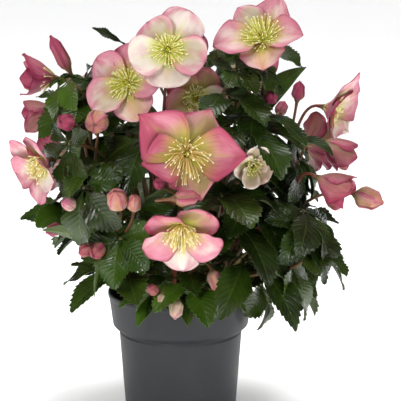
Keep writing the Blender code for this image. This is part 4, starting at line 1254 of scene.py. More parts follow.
@dataclass
class CompostPlug:
    """The compost in the pot: a lumpy crown, a plain wall, and loose crumbs on top."""

    palette: Palette
    crown: float = SOIL
    crown_depth: float = 0.5
    edge: float = 111.0
    edge_radius: float = 63.2
    settled: float = 1.6
    lumps: tuple[Triple, ...] = ((9.0, 0.0, 1.3), (2.6, 40.0, 0.7))
    wall: tuple[Span, ...] = ((56.4, 87.5), (50.6, 2.9), (0.0, 2.9))
    rings: int = 22
    sides: int = 72
    crumbs: int = 340
    crumb_sizes: Span = (1.2, 3.6)
    crumb_margin: float = 2.0
    crumb_lift: float = 0.1
    crumb_length: float = 0.8
    seed: int = 5

    def surface(self, x: float, y: float) -> float:
        """Return the height of the crown at a place in millimetres."""
        share = min(1.0, math.hypot(x, y) / self.edge_radius)
        height = self.crown - self.settled + (self.edge - self.crown) * share * share
        for size, layer, relief in self.lumps:
            height += noise.noise(Vector((x, y, layer)) / size) * relief
        return height

    def build(self) -> Body:
        """Build and dress the compost."""
        rings = [(self.edge_radius * ring / self.rings, self.crown) for ring in range(self.rings + 1)]
        part = turned(rings + list(self.wall), self.sides)
        for vert in part.verts:
            if vert.co.z > (self.crown - self.crown_depth) * MM:
                vert.co.z = self.surface(vert.co.x / MM, vert.co.y / MM) * MM
        rng = random.Random(self.seed)
        for _ in range(self.crumbs):
            turn = rng.uniform(0, TURN)
            radius = (self.edge_radius - self.crumb_margin) * math.sqrt(rng.random())
            x, y = radius * math.cos(turn), radius * math.sin(turn)
            size = rng.uniform(*self.crumb_sizes)
            lean = Vector((rng.uniform(-1, 1), rng.uniform(-1, 1), 1.0)).normalized()
            middle = at((x, y, self.surface(x, y) + self.crumb_lift))
            bead(part, middle, lean, size * self.crumb_length, size)
        piece = Piece("compost")
        piece.add(part, self.palette.compost)
        return piece.close("soil", "soil")


@dataclass(frozen=True)
class BudTepal:
    """One tepal of a closed bud, wrapped about the bud's axis."""

    middle: float
    half: float
    length: float
    pucker: float
    phase: float
    shares: Shares
    reach: float = 62.0
    reach_loss: float = 0.25
    closeness: float = 0.93
    lap: float = 0.075
    waves: Span = (9.0, 4.0)
    tip_pink: float = 0.15
    foot_green: float = 0.35
    closing_power: float = 1.7
    shape: tuple[Span, ...] = ((0.0, 0.34), (0.28, 0.98), (0.74, 0.86), (1.0, 0.16))

    def swell(self, along: float) -> float:
        """Return the share of the bud's half width at a share of its length."""
        for (low, first), (high, second) in zip(self.shape, self.shape[1:]):
            if along <= high:
                power = 1.0 if first < second else self.closing_power
                share = math.sin(0.5 * math.pi * (along - low) / (high - low)) ** power
                return first + (second - first) * share
        return self.shape[-1][1]

    def place(self, along: float, across: float) -> Vector:
        """Return a point of the tepal in the bud's frame."""
        wide = self.reach * (1.0 - self.reach_loss * along)
        radius = self.half * self.swell(along) * (self.closeness + self.lap * across)
        lengthwise, crosswise = self.waves
        wave = math.sin(lengthwise * along + crosswise * across + self.phase)
        radius *= 1.0 + self.pucker * wave
        return around(self.middle + wide * across, radius, self.length * along) * MM

    def tint(self, along: float, across: float) -> Shares:
        """Return the tint, pinker at the tip and greener at the foot."""
        pink, green, warm, number = self.shares
        greener = green + self.foot_green * (1 - along) ** 3
        return min(1.0, pink + self.tip_pink * along), greener, warm, number


@dataclass
class BudHead:
    """A closed bud of five tepals, each lapped over the next, about a plain core."""

    palette: Palette
    petals: int = 5
    half_share: float = 0.47
    core_width: float = 0.62
    core_length: float = 0.42
    shift: float = 5.0
    lengths: Span = (0.93, 1.0)
    puckers: Span = (0.01, 0.035)
    blade: Blade = Blade(9, 8, 0.45, 0.6, 1.2)

    def add_to(self, piece: Piece, plan: BudPlan, seed: int) -> None:
        """Add a bud to a piece.

        Args:
            piece: piece that takes the bud.
            plan: the bud's place, size and tone.
            seed: seed of its small irregularities.
        """
        rng = random.Random(seed)
        axis = facing(plan.azimuth, plan.elevation)
        spot = head_frame(Vector(plan.tip) - axis * plan.length, plan.azimuth, plan.elevation)
        half = self.half_share * plan.width
        start = rng.uniform(0, 360)
        core = new_part()
        middle = Matrix.Translation(at((0, 0, 0.5 * plan.length)))
        wide, long = self.core_width * half * MM, self.core_length * plan.length * MM
        bmesh.ops.create_icosphere(core, subdivisions=2, radius=1.0,
                                   matrix=middle @ Matrix.Diagonal((wide, wide, long, 1.0)))
        colour_part(core, (*plan.tone.value, 0.5))
        piece.add(core, self.palette.tepal_back, spot=spot)
        for number in range(self.petals):
            tepal = BudTepal(
                middle=start + 360.0 * number / self.petals + rng.uniform(-self.shift, self.shift),
                half=half,
                length=plan.length * rng.uniform(*self.lengths),
                pucker=rng.uniform(*self.puckers),
                phase=rng.uniform(0, PHASE_LIMIT),
                shares=(*plan.tone.value, rng.random()))
            piece.add(self.blade.build(tepal.place, tepal.tint), self.palette.tepal_back,
                      self.palette.tepal, spot=spot)


@dataclass(frozen=True)
class Bract:
    """A plain-edged leaf with a soft fold, which narrows to a foot."""

    plan: BractPlan
    foot: Vector
    phase: float
    fold: float = 0.32
    softness: Span = (0.01, 0.1)
    start_share: float = 0.02
    swell_power: float = 0.8
    width_power: float = 0.85
    foot_half: float = 1.4
    foot_end: float = 0.3
    tip_start: float = 0.97
    wave: float = 0.05
    waves: float = 9.0

    def place(self, along: float, across: float) -> Vector:
        """Return a point of the bract."""
        plan = self.plan
        outward = facing(plan.azimuth, 0.0)
        side = sideways(outward)
        roll = math.radians(plan.roll)
        share = self.start_share + (1.0 - self.start_share) * along
        swell = max(0.0, math.sin(math.pi * share ** self.swell_power))
        half = max(0.5 * plan.width * swell ** self.width_power,
                   self.foot_half * (1.0 - ease(along, 0.0, self.foot_end)))
        half *= 1.0 - ease(along, self.tip_start, 1.0)
        start = math.radians(plan.elevation)
        end = math.radians(plan.elevation - plan.droop)
        out, rise, pitch = bend(plan.length, start, end, along)
        normal = UP * math.cos(pitch) - outward * math.sin(pitch)
        edge = side * math.cos(roll) + normal * math.sin(roll)
        face = normal * math.cos(roll) - side * math.sin(roll)
        lift = self.fold * half * crease(across, *self.softness)
        lift += self.wave * half * math.sin(self.waves * along + self.phase) * across
        return self.foot + (outward * out + UP * rise + edge * (half * across) + face * lift) * MM


@dataclass
class FlowerStem:
    """A flowering stem with its stalks, buds and bracts."""

    palette: Palette
    plan: StemPlan
    stem_radius: float = 2.8
    fork_radius: float = 2.15
    stalk_radius: float = 1.55
    neck_radius: float = 1.3
    stem_steps: int = 16
    stem_pull: Span = (0.5, 0.3)
    node_step: float = 6.0
    neck: float = 3.0
    turn_share: float = 1.2
    pull: float = 0.35
    bloom_steps: int = 12
    bloom_seat: float = 1.3
    bloom_sink: float = 0.4
    bloom_radii: Span = (1.9, 2.6)
    bud_steps: int = 10
    bud_sink: float = 0.12
    bud_thinness: float = 0.92
    bud_radius: float = 1.7
    bud_share: float = 0.3
    knot_size: Span = (4.6, 5.4)
    stem_green: float = 0.05
    stalk_green: float = 0.3
    bract_olive: float = 0.25
    bract_dim: float = 0.5
    blade: Blade = Blade(22, 10, 0.5, 0.5)

    def all_buds(self) -> tuple[BudPlan, ...]:
        """Return the buds and the late buds."""
        return self.plan.buds + self.plan.late_buds

    def arrival(self) -> Vector:
        """Return the direction in which the stem reaches its fork, whatever its late buds."""
        root = at((*self.plan.root, SOIL))
        fork = at(self.plan.fork)
        ends = [end for end, _ in self.heads()] + [at(bud.tip) for bud in self.plan.buds]
        middle = sum(ends, Vector()) / len(ends)
        return ((middle - fork).normalized() + (fork - root).normalized()).normalized()

    def heads(self) -> list[tuple[Vector, Vector]]:
        """Return where each bloom sits on its stalk, and its axis."""
        made = []
        for bloom in BLOOMS:
            if bloom.name in self.plan.blooms:
                axis = facing(bloom.azimuth, bloom.elevation)
                made.append((at(bloom.centre) - axis * (self.bloom_seat * MM), axis))
        return made

    def node_spot(self, arrival: Vector, number: float) -> Vector:
        """Return the place on the stem that lies some steps down from its fork."""
        return at(self.plan.fork) - arrival * (number * self.node_step * MM)

    def stalk(self, start: Vector, arrival: Vector, end: Vector, axis: Vector, steps: int) -> list[Vector]:
        """Return the points of a thin stalk that comes up behind a head."""
        neck = end - axis * (self.neck * MM)
        span = (neck - start).length
        lead = (arrival + (neck - start).normalized() * self.turn_share).normalized()
        reach = self.pull * span
        return curve_points(start, start + lead * reach, neck - axis * reach, neck, steps)

    def build(self) -> None:
        """Build and dress the stalks, the buds and the bracts."""
        arrival = self.arrival()
        self.build_stalks(arrival)
        if self.all_buds():
            buds = Piece(self.plan.name + "_buds")
            for number, bud in enumerate(self.all_buds()):
                BudHead(self.palette).add_to(buds, bud, 100 * number + int(bud.tip[2]))
            buds.close("tepal_pink", self.plan.name)
        bracts = Piece(self.plan.name + "_bracts")
        for number, plan in enumerate(self.plan.bracts):
            rng = random.Random(self.plan.name + str(number))
            bract = Bract(plan, self.node_spot(arrival, number + 0.5), rng.uniform(0, PHASE_LIMIT))
            shares = (plan.fresh, rng.uniform(0.0, self.bract_olive),
                      rng.uniform(0.0, self.bract_dim), rng.random())
            bracts.add(self.blade.build(bract.place, even(shares)), self.palette.leaf,
                       self.palette.leaf_back)
        bracts.close("leaf", self.plan.name)

    def build_stalks(self, arrival: Vector) -> None:
        """Build the stem and every stalk that leaves it."""
        root = at((*self.plan.root, SOIL))
        fork = at(self.plan.fork)
        span = (fork - root).length
        first, last = self.stem_pull
        points = [root - UP * (ROOT_DEPTH * MM)]
        points += curve_points(root, root + UP * (first * span), fork - arrival * (last * span), fork,
                               self.stem_steps)
        radii = taper(self.stem_radius, self.fork_radius, len(points))
        heads = self.heads()
        paths = []
        for node, (end, axis) in enumerate(heads):
            rest = self.stalk(self.node_spot(arrival, node), arrival, end, axis, self.bloom_steps)
            rest.append(end - axis * (self.bloom_sink * MM))
            thick = taper(self.stalk_radius, self.neck_radius, len(rest))
            thick[-2:] = self.bloom_radii
            if node == 0:
                points += rest[1:]
                radii += thick[1:]
            else:
                paths.append((rest, thick))
        nodes = max(1, len(heads))
        for node, bud in enumerate(self.all_buds(), nodes):
            axis = facing(bud.azimuth, bud.elevation)
            base = at(bud.tip) - axis * (bud.length * MM)
            rest = self.stalk(self.node_spot(arrival, node), arrival, base, axis, self.bud_steps)
            rest.append(base + axis * (self.bud_sink * bud.length * MM))
            thick = taper(self.stalk_radius * self.bud_thinness, self.neck_radius, len(rest))
            thick[-2:] = (self.bud_radius, self.bud_share * bud.width)
            paths.append((rest, thick))
        nodes += len(self.all_buds())
        piece = Piece(self.plan.name + "_stalks")
        piece.add(tubes([(points, radii)], 3, self.stem_green), self.palette.stem)
        if paths:
            piece.add(tubes(paths, 2, self.stalk_green), self.palette.stem)
        spots = [(self.node_spot(arrival, number), arrival) for number in range(nodes)]
        piece.add(knots(spots, self.knot_size, self.stalk_green), self.palette.stem)
        piece.close("stem", self.plan.name)


@dataclass(frozen=True)
class Leaflet:
    """One toothed leaflet, which arches away from its hub along a ray."""

    hub: Vector
    up: Vector
    ray: Vector
    across_ray: Vector
    spin: Matrix
    length: float
    width: float
    start: float
    end: float
    fold: float
    wave: float
    phase: float
    depth: float
    ruffle: float
    teeth: int = 15
    tooth_rows: int = 3
    tooth_room: float = 9.0
    tooth_swing: Span = (1.3, 0.5)
    hook_power: float = 1.5
    hook_room: float = 4.0
    margin: float = 0.99
    broadest: float = 0.55
    foot_power: float = 2.2
    tip_powers: Span = (1.7, 0.85)
    foot_half: float = 1.5
    foot_band: Span = (0.02, 0.3)
    softness: Span = (0.004, 0.063)
    waves: float = 9.0
    ruffles: float = 17.0
    ruffle_band: Span = (0.1, 0.4)
    pucker: float = 0.16
    pucker_room: float = 8.0
    pucker_edge: float = 1.2
    rib_slant: float = 2.6

    def rows(self) -> int:
        """Return the number of rows that the blade needs for its teeth."""
        return self.teeth * self.tooth_rows

    def half_width(self, along: float) -> float:
        """Return the half width between the teeth."""
        if along <= self.broadest:
            swell = math.sin(0.5 * math.pi * along / self.broadest)
            return 0.5 * self.width * swell ** self.foot_power
        inner, outer = self.tip_powers
        rest = (along - self.broadest) / (1.0 - self.broadest)
        return 0.5 * self.width * max(0.0, 1.0 - rest ** inner) ** outer

    def tooth(self, along: float, half: float) -> Span:
        """Move a point of the margin as its tooth asks.

        Args:
            along: share of the length.
            half: half width between the teeth.

        Returns:
            The share of the length and the half width of the point.
        """
        grown = (round(along * self.rows()) % self.tooth_rows) / (self.tooth_rows - 1.0)
        outward, inward = self.tooth_swing
        half += self.depth * min(1.0, half / self.tooth_room) * (outward * grown - inward)
        hook = grown ** self.hook_power / self.rows() * min(1.0, half / self.hook_room)
        return min(1.0, along + hook), half

    def lift(self, along: float, across: float, half: float) -> float:
        """Return how far a point stands off the spine: fold, wave, ruffled margin and ribs."""
        off = abs(across)
        height = half * self.fold * crease(across, *self.softness)
        height += half * self.wave * math.sin(self.waves * along + self.phase) * across
        ruffle = math.sin(self.ruffles * along + 2.0 * self.phase + across)
        height += self.ruffle * ruffle * across ** 4 * ease(along, *self.ruffle_band)
        ribs = self.pucker * math.sin(TURN * (self.teeth * along - self.rib_slant * off))
        inside = min(off, self.pucker_edge - off)
        return height + ribs * inside * min(1.0, half / self.pucker_room)

    def place(self, along: float, across: float) -> Vector:
        """Return a point of the leaflet."""
        half = self.half_width(along)
        if abs(across) > self.margin:
            along, half = self.tooth(along, half)
        half = max(half, self.foot_half * (1.0 - ease(along, *self.foot_band)))
        out, rise, pitch = bend(self.length, self.start, self.end, along)
        normal = self.spin @ (self.up * math.cos(pitch) - self.ray * math.sin(pitch))
        spine = self.ray * out + self.up * rise
        level = self.across_ray * (half * across)
        return self.hub + (spine + level + normal * self.lift(along, across, half)) * MM


@dataclass
class LeafFan:
    """A fan of toothed leaflets on its stalk, with the upper leaf that branches off it."""

    palette: Palette
    plan: LeafPlan
    root_radius: float = 44.0
    stalk_radius: float = 1.9
    stalk_steps: int = 16
    stalk_pull: Span = (0.45, 0.35)
    upper_steps: int = 14
    upper_pull: Span = (0.35, 0.3)
    thinning: Span = (0.8, 0.7)
    stalk_green: float = 0.6
    knot_green: float = 0.8
    knot_size: Span = (4.0, 6.0)
    knot_sink: float = 0.6
    thickness: float = 0.5
    margin_share: float = 0.5
    columns: int = 12
    tone_seed: int = 500
    shift: float = 3.0
    lengths: Span = (0.93, 1.05)
    widths: Span = (0.94, 1.06)
    rises: Span = (-5.0, 5.0)
    droops: Span = (-8.0, 8.0)
    folds: Span = (0.16, 0.34)
    waves: Span = (0.05, 0.2)
    tooth_depth: float = 1.5
    tooth_depths: Span = (0.8, 1.2)
    ruffles: Span = (0.6, 1.5)
    freshness: Span = (-0.08, 0.1)
    olive: float = 0.2
    dimness: float = 0.9
    fans: dict[int, tuple[Span, ...]] = field(default_factory=lambda: {
        1: ((0.0, 1.0),),
        3: ((-62.0, 0.9), (0.0, 1.0), (62.0, 0.9)),
        5: ((-112.0, 0.72), (-56.0, 0.9), (0.0, 1.0), (56.0, 0.9), (112.0, 0.72)),
    })

    def hub(self, plan: LeafPlan) -> tuple[Vector, Matrix]:
        """Return a leaf's hub and the tilt of its fan."""
        outward = facing(plan.azimuth, 0.0)
        tilt = Matrix.Rotation(math.radians(plan.tilt), 3, sideways(outward))
        return (outward * plan.reach + UP * plan.height) * MM, tilt

    def ray(self, plan: LeafPlan, turn: float) -> Vector:
        """Return the direction in the plane of a leaf's fan at a turn from its middle."""
        level = Matrix.Rotation(math.radians(turn), 3, "Z") @ facing(plan.azimuth, 0.0)
        return self.hub(plan)[1] @ level

    def add_leaflets(self, piece: Piece, plan: LeafPlan) -> None:
        """Add the leaflets of one leaf to a piece."""
        rng = random.Random(plan.seed)
        tones = random.Random(plan.seed + self.tone_seed)
        hub, tilt = self.hub(plan)
        fan = self.fans[plan.leaflets]
        turns = [angle + rng.uniform(-self.shift, self.shift) for angle, size in fan]
        for turn, (angle, size) in zip(turns, fan):
            ray = self.ray(plan, turn)
            spin = Matrix.Rotation(math.radians(plan.roll), 3, ray)
            length = plan.length * size * rng.uniform(*self.lengths)
            width = plan.width * size * rng.uniform(*self.widths)
            start = math.radians(plan.rise + rng.uniform(*self.rises))
            end = start - math.radians(plan.droop + rng.uniform(*self.droops))
            leaflet = Leaflet(
                hub, tilt @ UP, ray, spin @ self.ray(plan, turn + 90.0), spin, length, width, start, end,
                fold=rng.uniform(*self.folds),
                wave=rng.uniform(*self.waves),
                phase=rng.uniform(0, TURN),
                depth=self.tooth_depth * tones.uniform(*self.tooth_depths),
                ruffle=tones.uniform(*self.ruffles))
            shares = (plan.fresh + tones.uniform(*self.freshness), tones.uniform(0.0, self.olive),
                      tones.uniform(0.0, self.dimness), tones.random())
            blade = Blade(leaflet.rows(), self.columns, self.thickness, self.margin_share)
            part = blade.build(leaflet.place, even(shares))
            piece.add(part, self.palette.leaf, self.palette.leaf_back)

    def build(self) -> Body:
        """Build and dress the leaf."""
        piece = Piece(self.plan.name + "_fan")
        self.add_to(piece)
        return piece.close("leaf", self.plan.name)

    def add_to(self, piece: Piece) -> None:
        """Add the whole leaf to a piece."""
        hub, tilt = self.hub(self.plan)
        up = tilt @ UP
        outward = facing(self.plan.azimuth, 0.0)
        root = at((outward.x * self.root_radius, outward.y * self.root_radius, SOIL))
        first, last = self.stalk_pull
        thin, thinner = self.thinning
        span = (hub - root).length
        curve = (root, root + UP * (first * span), hub - up * (last * span), hub)
        points = [root - UP * (ROOT_DEPTH * MM)] + curve_points(*curve, self.stalk_steps)
        paths = [(points, taper(self.stalk_radius, thin * self.stalk_radius, len(points)))]
        hubs = [(hub, up)]
        self.add_leaflets(piece, self.plan)
        if self.plan.upper:
            start = curve_points(*curve, 2)[1]
            end, tilt = self.hub(self.plan.upper)
            up = tilt @ UP
            first, last = self.upper_pull
            span = (end - start).length
            path = curve_points(start, start + UP * (first * span), end - up * (last * span), end,
                                self.upper_steps)
            radii = taper(thin * self.stalk_radius, thinner * self.stalk_radius, len(path))
            paths.append((path, radii))
            hubs.append((end, up))
            self.add_leaflets(piece, self.plan.upper)
        piece.add(tubes(paths, 2, self.stalk_green), self.palette.stem)
        spots = [(spot - axis * (self.knot_sink * MM), axis) for spot, axis in hubs]
        piece.add(knots(spots, self.knot_size, self.knot_green), self.palette.stem)


@dataclass
class InnerLeaves:
    """The smaller leaves between the stems, which close the plant's middle."""

    palette: Palette
    sides: tuple[tuple[str, float], ...] = (
        ("front", 0.0), ("right", 90.0), ("back", 180.0), ("left", 270.0))
    side_reach: float = 45.0
    root_start: float = 12.0
    root_share: float = 0.26
    columns: int = 6

    def build(self) -> None:
        """Build and dress the leaves, one piece for each side of the plant."""
        for name, middle in self.sides:
            piece = Piece("inner_leaves_" + name)
            for plan in INNER_LEAVES:
                if abs((plan.azimuth - middle + 180.0) % 360.0 - 180.0) <= self.side_reach:
                    root = self.root_start + self.root_share * plan.reach
                    LeafFan(self.palette, plan, root_radius=root, columns=self.columns).add_to(piece)
            piece.close("leaf")


@dataclass(frozen=True)
class Tepal:
    """One tepal of an open bloom, in the bloom's frame."""

    turn: float
    point: float
    laps: tuple[int, int]
    start: float
    length: float
    width: float
    end: float
    cup: float
    wave: float
    phase: float
    bluntness: float
    notch: float
    pleat: float
    pleats: float
    curl_tip: float
    start_radius: float = 2.0
    base_share: float = 0.16
    broadest: float = 0.64
    spread: float = 1.14
    point_spread: float = 0.12
    point_shift: float = 0.1
    foot_power: float = 1.1
    blunt_power: float = 0.6
    blunt_extra: float = 0.5
    sharp_power: float = 1.3
    sharp_swell: float = 0.3
    unevenness: float = 0.022
    uneven_waves: float = 14.0
    uneven_shift: float = 1.4
    uneven_band: Span = (0.2, 0.6)
    flattest: float = 0.01
    tilt: float = 0.2
    tilt_power: float = 1.2
    ripple: float = 7.0
    rim_ruffle: Span = (19.0, 3.0)
    pleat_band: Span = (0.1, 0.5)
    tip_band: Span = (0.72, 1.0)
    groove_depth: float = 0.35
    groove_width: float = 1.6
    groove_band: Span = (0.05, 0.3)
    notch_width: float = 0.22
    notch_band: Span = (0.86, 1.0)

    def half_width(self, along: float) -> float:
        """Return the half width at a share of the length."""
        spread = self.spread + self.point_spread * self.point ** 2
        broadest = self.broadest - self.point_shift * self.point
        if along <= broadest:
            swell = math.sin(0.5 * math.pi * along / broadest) ** self.foot_power
            return 0.5 * self.width * spread * (self.base_share + (1.0 - self.base_share) * swell)
        rest = (along - broadest) / (1.0 - broadest)
        blunt = max(0.0, 1.0 - rest ** (self.bluntness + self.blunt_extra)) ** self.blunt_power
        sharp = max(0.0, 1.0 - rest) ** self.sharp_power * (1.0 + self.sharp_swell * rest)
        return 0.5 * self.width * spread * (blunt + (sharp - blunt) * self.point)

    def lift(self, along: float, across: float, half: float, upright: float) -> float:
        """Return how far a point stands off the tepal's even curve.

        Args:
            along: share of the length.
            across: share of the half width.
            half: half width there.
            upright: sine of the pitch there.

        Returns:
            The height in millimetres: cup, lap, wave, ruffled rim, pleats, tip and groove.
        """
        left, right = self.laps
        height = half * self.cup * (1.0 - upright) * across * across
        height += half * self.tilt * (right if across < 0 else left) * abs(across) ** self.tilt_power
        height += half * self.wave * math.sin(self.ripple * along + self.phase) * across
        lengthwise, crosswise = self.rim_ruffle
        ruffle = math.sin(lengthwise * along + crosswise * across + self.phase)
        height += ruffle * abs(across) ** 5
        pleats = self.pleat * math.cos(self.pleats * across + self.phase)
        height += pleats * ease(along, *self.pleat_band) * (1.0 - across * across)
        height += self.curl_tip * ease(along, *self.tip_band)
        groove = math.exp(-(across * half / self.groove_width) ** 2)
        return height - self.groove_depth * groove * ease(along, *self.groove_band)

    def place(self, along: float, across: float) -> Vector:
        """Return a point of the tepal."""
        radial = around(self.turn, 1.0, 0.0)
        side = around(self.turn - 90.0, 1.0, 0.0)
        shift = math.copysign(self.uneven_shift, across)
        uneven = math.sin(self.uneven_waves * along + self.phase + shift)
        half = self.half_width(along)
        half *= 1.0 + self.unevenness * uneven * ease(along, *self.uneven_band)
        out, up, pitch = bend(self.length, self.start, self.end, along)
        radius = self.start_radius + out
        inward = UP * math.cos(pitch) - radial * math.sin(pitch)
        upright = max(self.flattest, math.sin(pitch))
        curl_radius = radius / upright
        curl = half * across / curl_radius
        notch = math.exp(-(across / self.notch_width) ** 2) * ease(along, *self.notch_band)
        spine = radial * radius + UP * up - radial * (self.notch * notch)
        arc = side * math.sin(curl) + inward * (1.0 - math.cos(curl))
        normal = inward * math.cos(curl) - side * math.sin(curl)
        lift = self.lift(along, across, half, upright)
        return (spine + arc * curl_radius + normal * lift) * MM


@dataclass
class BloomHead:
    """The five tepals of a bloom, cut and bent as its plan says."""

    palette: Palette
    plan: BloomPlan
    step: float = 72.0
    shift: float = 4.0
    sizes: Span = (0.94, 1.06)
    end_shift: float = 8.0
    cups: Span = (0.1, 0.2)
    waves: Span = (0.02, 0.08)
    bluntness: Span = (2.0, 2.6)
    notches: Span = (0.2, 1.4)
    pleat_heights: Span = (0.3, 0.75)
    pleats: Span = (5.0, 8.0)
    tip_curls: Span = (-1.6, 2.6)
    laps: tuple[tuple[int, int], ...] = ((-1, -1), (1, 1), (-1, -1), (1, 1), (-1, 1))
    seat: tuple[Vector, Vector] = (Vector((0.0, 0.0, -0.4)) * MM, UP)
    seat_size: Span = (3.4, 7.4)
    seat_green: float = 0.9
    blade: Blade = Blade(24, 18, 0.5, 0.4, 1.3)

    def tepal(self, number: int, turn: float) -> Tepal:
        """Draw the small irregularities of one tepal and return it."""
        plan = self.plan
        rng = random.Random(plan.seed * 10 + number)
        stretch = plan.stretch[number]
        return Tepal(
            turn, plan.point, self.laps[number], math.radians(90.0 - plan.base_pitch),
            length=plan.length * rng.uniform(*self.sizes) * stretch,
            width=plan.width * rng.uniform(*self.sizes) * (0.5 + 0.5 * stretch),
            end=math.radians(90.0 - plan.tip_pitch + rng.uniform(-self.end_shift, self.end_shift)),
            cup=rng.uniform(*self.cups),
            wave=rng.uniform(*self.waves),
            phase=rng.uniform(0, TURN),
            bluntness=rng.uniform(*self.bluntness),
            notch=rng.uniform(*self.notches) * (1.0 - plan.point),
            pleat=rng.uniform(*self.pleat_heights),
            pleats=rng.uniform(*self.pleats),
            curl_tip=rng.uniform(*self.tip_curls))

    def build(self) -> Body:
        """Build and dress the tepals."""
        plan = self.plan
        rng = random.Random(plan.seed)
        turns = [plan.roll + self.step * number + shift + rng.uniform(-self.shift, self.shift)
                 for number, shift in enumerate(plan.turns)]
        spot = head_frame(plan.centre, plan.azimuth, plan.elevation)
        piece = Piece(plan.name + "_tepals")
        for number, (tone, turn) in enumerate(zip(plan.tones, turns)):
            tint = even((*tone.value, rng.random()))
            part = self.blade.build(self.tepal(number, turn).place, tint)
            piece.add(part, self.palette.tepal, self.palette.tepal_back, spot=spot)
        seat = knots([self.seat], self.seat_size, self.seat_green)
        piece.add(seat, self.palette.stem, spot=spot)
        return piece.close(plan.slot, plan.name)


@dataclass
class StamenTuft:
    """The heart of a bloom: filaments with anthers, a ring of nectaries, carpels and styles."""

    palette: Palette
    plan: BloomPlan
    filaments: int = 74
    filament_shift: float = 6.0
    lean: Span = (8.0, 6.0)
    lean_shift: float = 8.0
    droops: Span = (0.3, 1.5)
    lengths: Span = (0.8, 1.1)
    outer_growth: Span = (0.86, 0.14)
    foot: Triple = (1.4, 2.2, 1.2)
    filament_rise: float = 0.6
    filament_radii: tuple[float, ...] = (0.62, 0.56, 0.5, 0.45, 0.4)
    anther_seat: float = 0.5
    anther_lengths: Span = (2.2, 3.0)
    anther_widths: Span = (1.3, 1.8)
    fresh_droop: float = 0.14
    ageing: float = 3.0
    oldest: float = 0.8
    nectaries: int = 12
    nectary_shift: float = 5.0
    nectary_lean: Span = (54.0, 12.0)
    nectary_foot: Span = (2.4, 0.7)
    nectary_stations: tuple[Span, ...] = (
        (0.0, 0.5), (1.2, 0.8), (2.6, 1.15), (3.6, 1.3), (4.0, 0.9))
    carpels: int = 4
    carpel_shift: float = 12.0
    carpel_lean: float = 0.16
    carpel_foot: Span = (0.9, 0.6)
    carpel_share: float = 0.42
    carpel_stations: tuple[Span, ...] = ((0.0, 0.9), (0.3, 1.2), (0.7, 1.0), (1.0, 0.4))
    style_spread: float = 0.8
    style_radii: tuple[float, ...] = (0.42, 0.32, 0.24)

    def build(self) -> Body:
        """Build and dress the tuft."""
        plan = self.plan
        rng = random.Random(plan.seed * 10 + 7)
        spot = head_frame(plan.centre, plan.azimuth, plan.elevation)
        piece = Piece(plan.name + "_stamen_tuft")
        self.add_filaments(piece, rng, spot)
        self.add_nectaries(piece, rng, spot)
        self.add_carpels(piece, rng, spot)
        return piece.close("stamen", plan.name + "_stamens")

    def add_filaments(self, piece: Piece, rng: random.Random, spot: Matrix) -> None:
        """Add the filaments, which sag by their own weight, and their anthers."""
        plan = self.plan
        down = spot.to_3x3().inverted() @ -UP
        inmost, growth = self.outer_growth
        foot_radius, foot_spread, foot_height = self.foot
        least, loss = self.lean
        threads, tips = [], new_part()
        for number in range(self.filaments):
            share = math.sqrt((number + 0.5) / self.filaments)
            turn = GOLDEN_TURN * number + rng.uniform(-self.filament_shift, self.filament_shift)
            lean = least + (plan.base_pitch - loss) * share + rng.uniform(-self.lean_shift, self.lean_shift)
            lean = math.radians(lean)
            droop = plan.droop * rng.uniform(*self.droops)
            length = plan.filament_length * plan.ring * rng.uniform(*self.lengths) * (inmost + growth * share)
            out = around(turn, math.sin(lean), math.cos(lean))
            foot = around(turn, foot_radius + foot_spread * share, foot_height)
            line = []
            for step in range(len(self.filament_radii)):
                t = step / (len(self.filament_radii) - 1)
                sag = down * (length * droop * t * t)
                line.append((foot + out * (length * t) + sag + UP * (self.filament_rise * t * t)) * MM)
            threads.append((line, self.filament_radii))
            axis = (line[-1] - line[-2]).normalized()
            middle = line[-1] + axis * (self.anther_seat * MM)
            bead(tips, middle, axis, rng.uniform(*self.anther_lengths), rng.uniform(*self.anther_widths))
        age = max(0.0, min(self.oldest, self.ageing * (plan.droop - self.fresh_droop)))
        piece.add(tubes(threads, 0, age), self.palette.filament, spot=spot)
        colour_part(tips, plain(0.0))
        piece.add(tips, self.palette.anther, spot=spot)

    def add_nectaries(self, piece: Piece, rng: random.Random, spot: Matrix) -> None:
        """Add the ring of cups, which leans no further than the tepals."""
        most, gap = self.nectary_lean
        lean = math.radians(min(most, self.plan.base_pitch - gap))
        cups = []
        for number in range(self.nectaries):
            turn = 360.0 * number / self.nectaries + rng.uniform(-self.nectary_shift, self.nectary_shift)
            out = around(turn, math.sin(lean), math.cos(lean))
            cups.append(spindle(around(turn, *self.nectary_foot), out, 1.0, self.nectary_stations))
        piece.add(tubes(cups, 2, 0.0), self.palette.nectary, spot=spot)

    def add_carpels(self, piece: Piece, rng: random.Random, spot: Matrix) -> None:
        """Add the carpels, and a style on each."""
        reach = self.carpel_share * self.plan.filament_length
        pods, styles = [], []
        for number in range(self.carpels):
            turn = 360.0 * number / self.carpels + rng.uniform(-self.carpel_shift, self.carpel_shift)
            out = around(turn, self.carpel_lean, 1.0)
            foot = around(turn, *self.carpel_foot)
            pods.append(spindle(foot, out, reach, self.carpel_stations))
            start = foot + out * reach
            tip = start + around(turn, self.style_spread, reach)
            styles.append(([start * MM, (start + tip) * 0.5 * MM, tip * MM], self.style_radii))
        piece.add(tubes(pods, 2, 0.0), self.palette.carpel, spot=spot)
        piece.add(tubes(styles, 0, 0.0), self.palette.style, spot=spot)


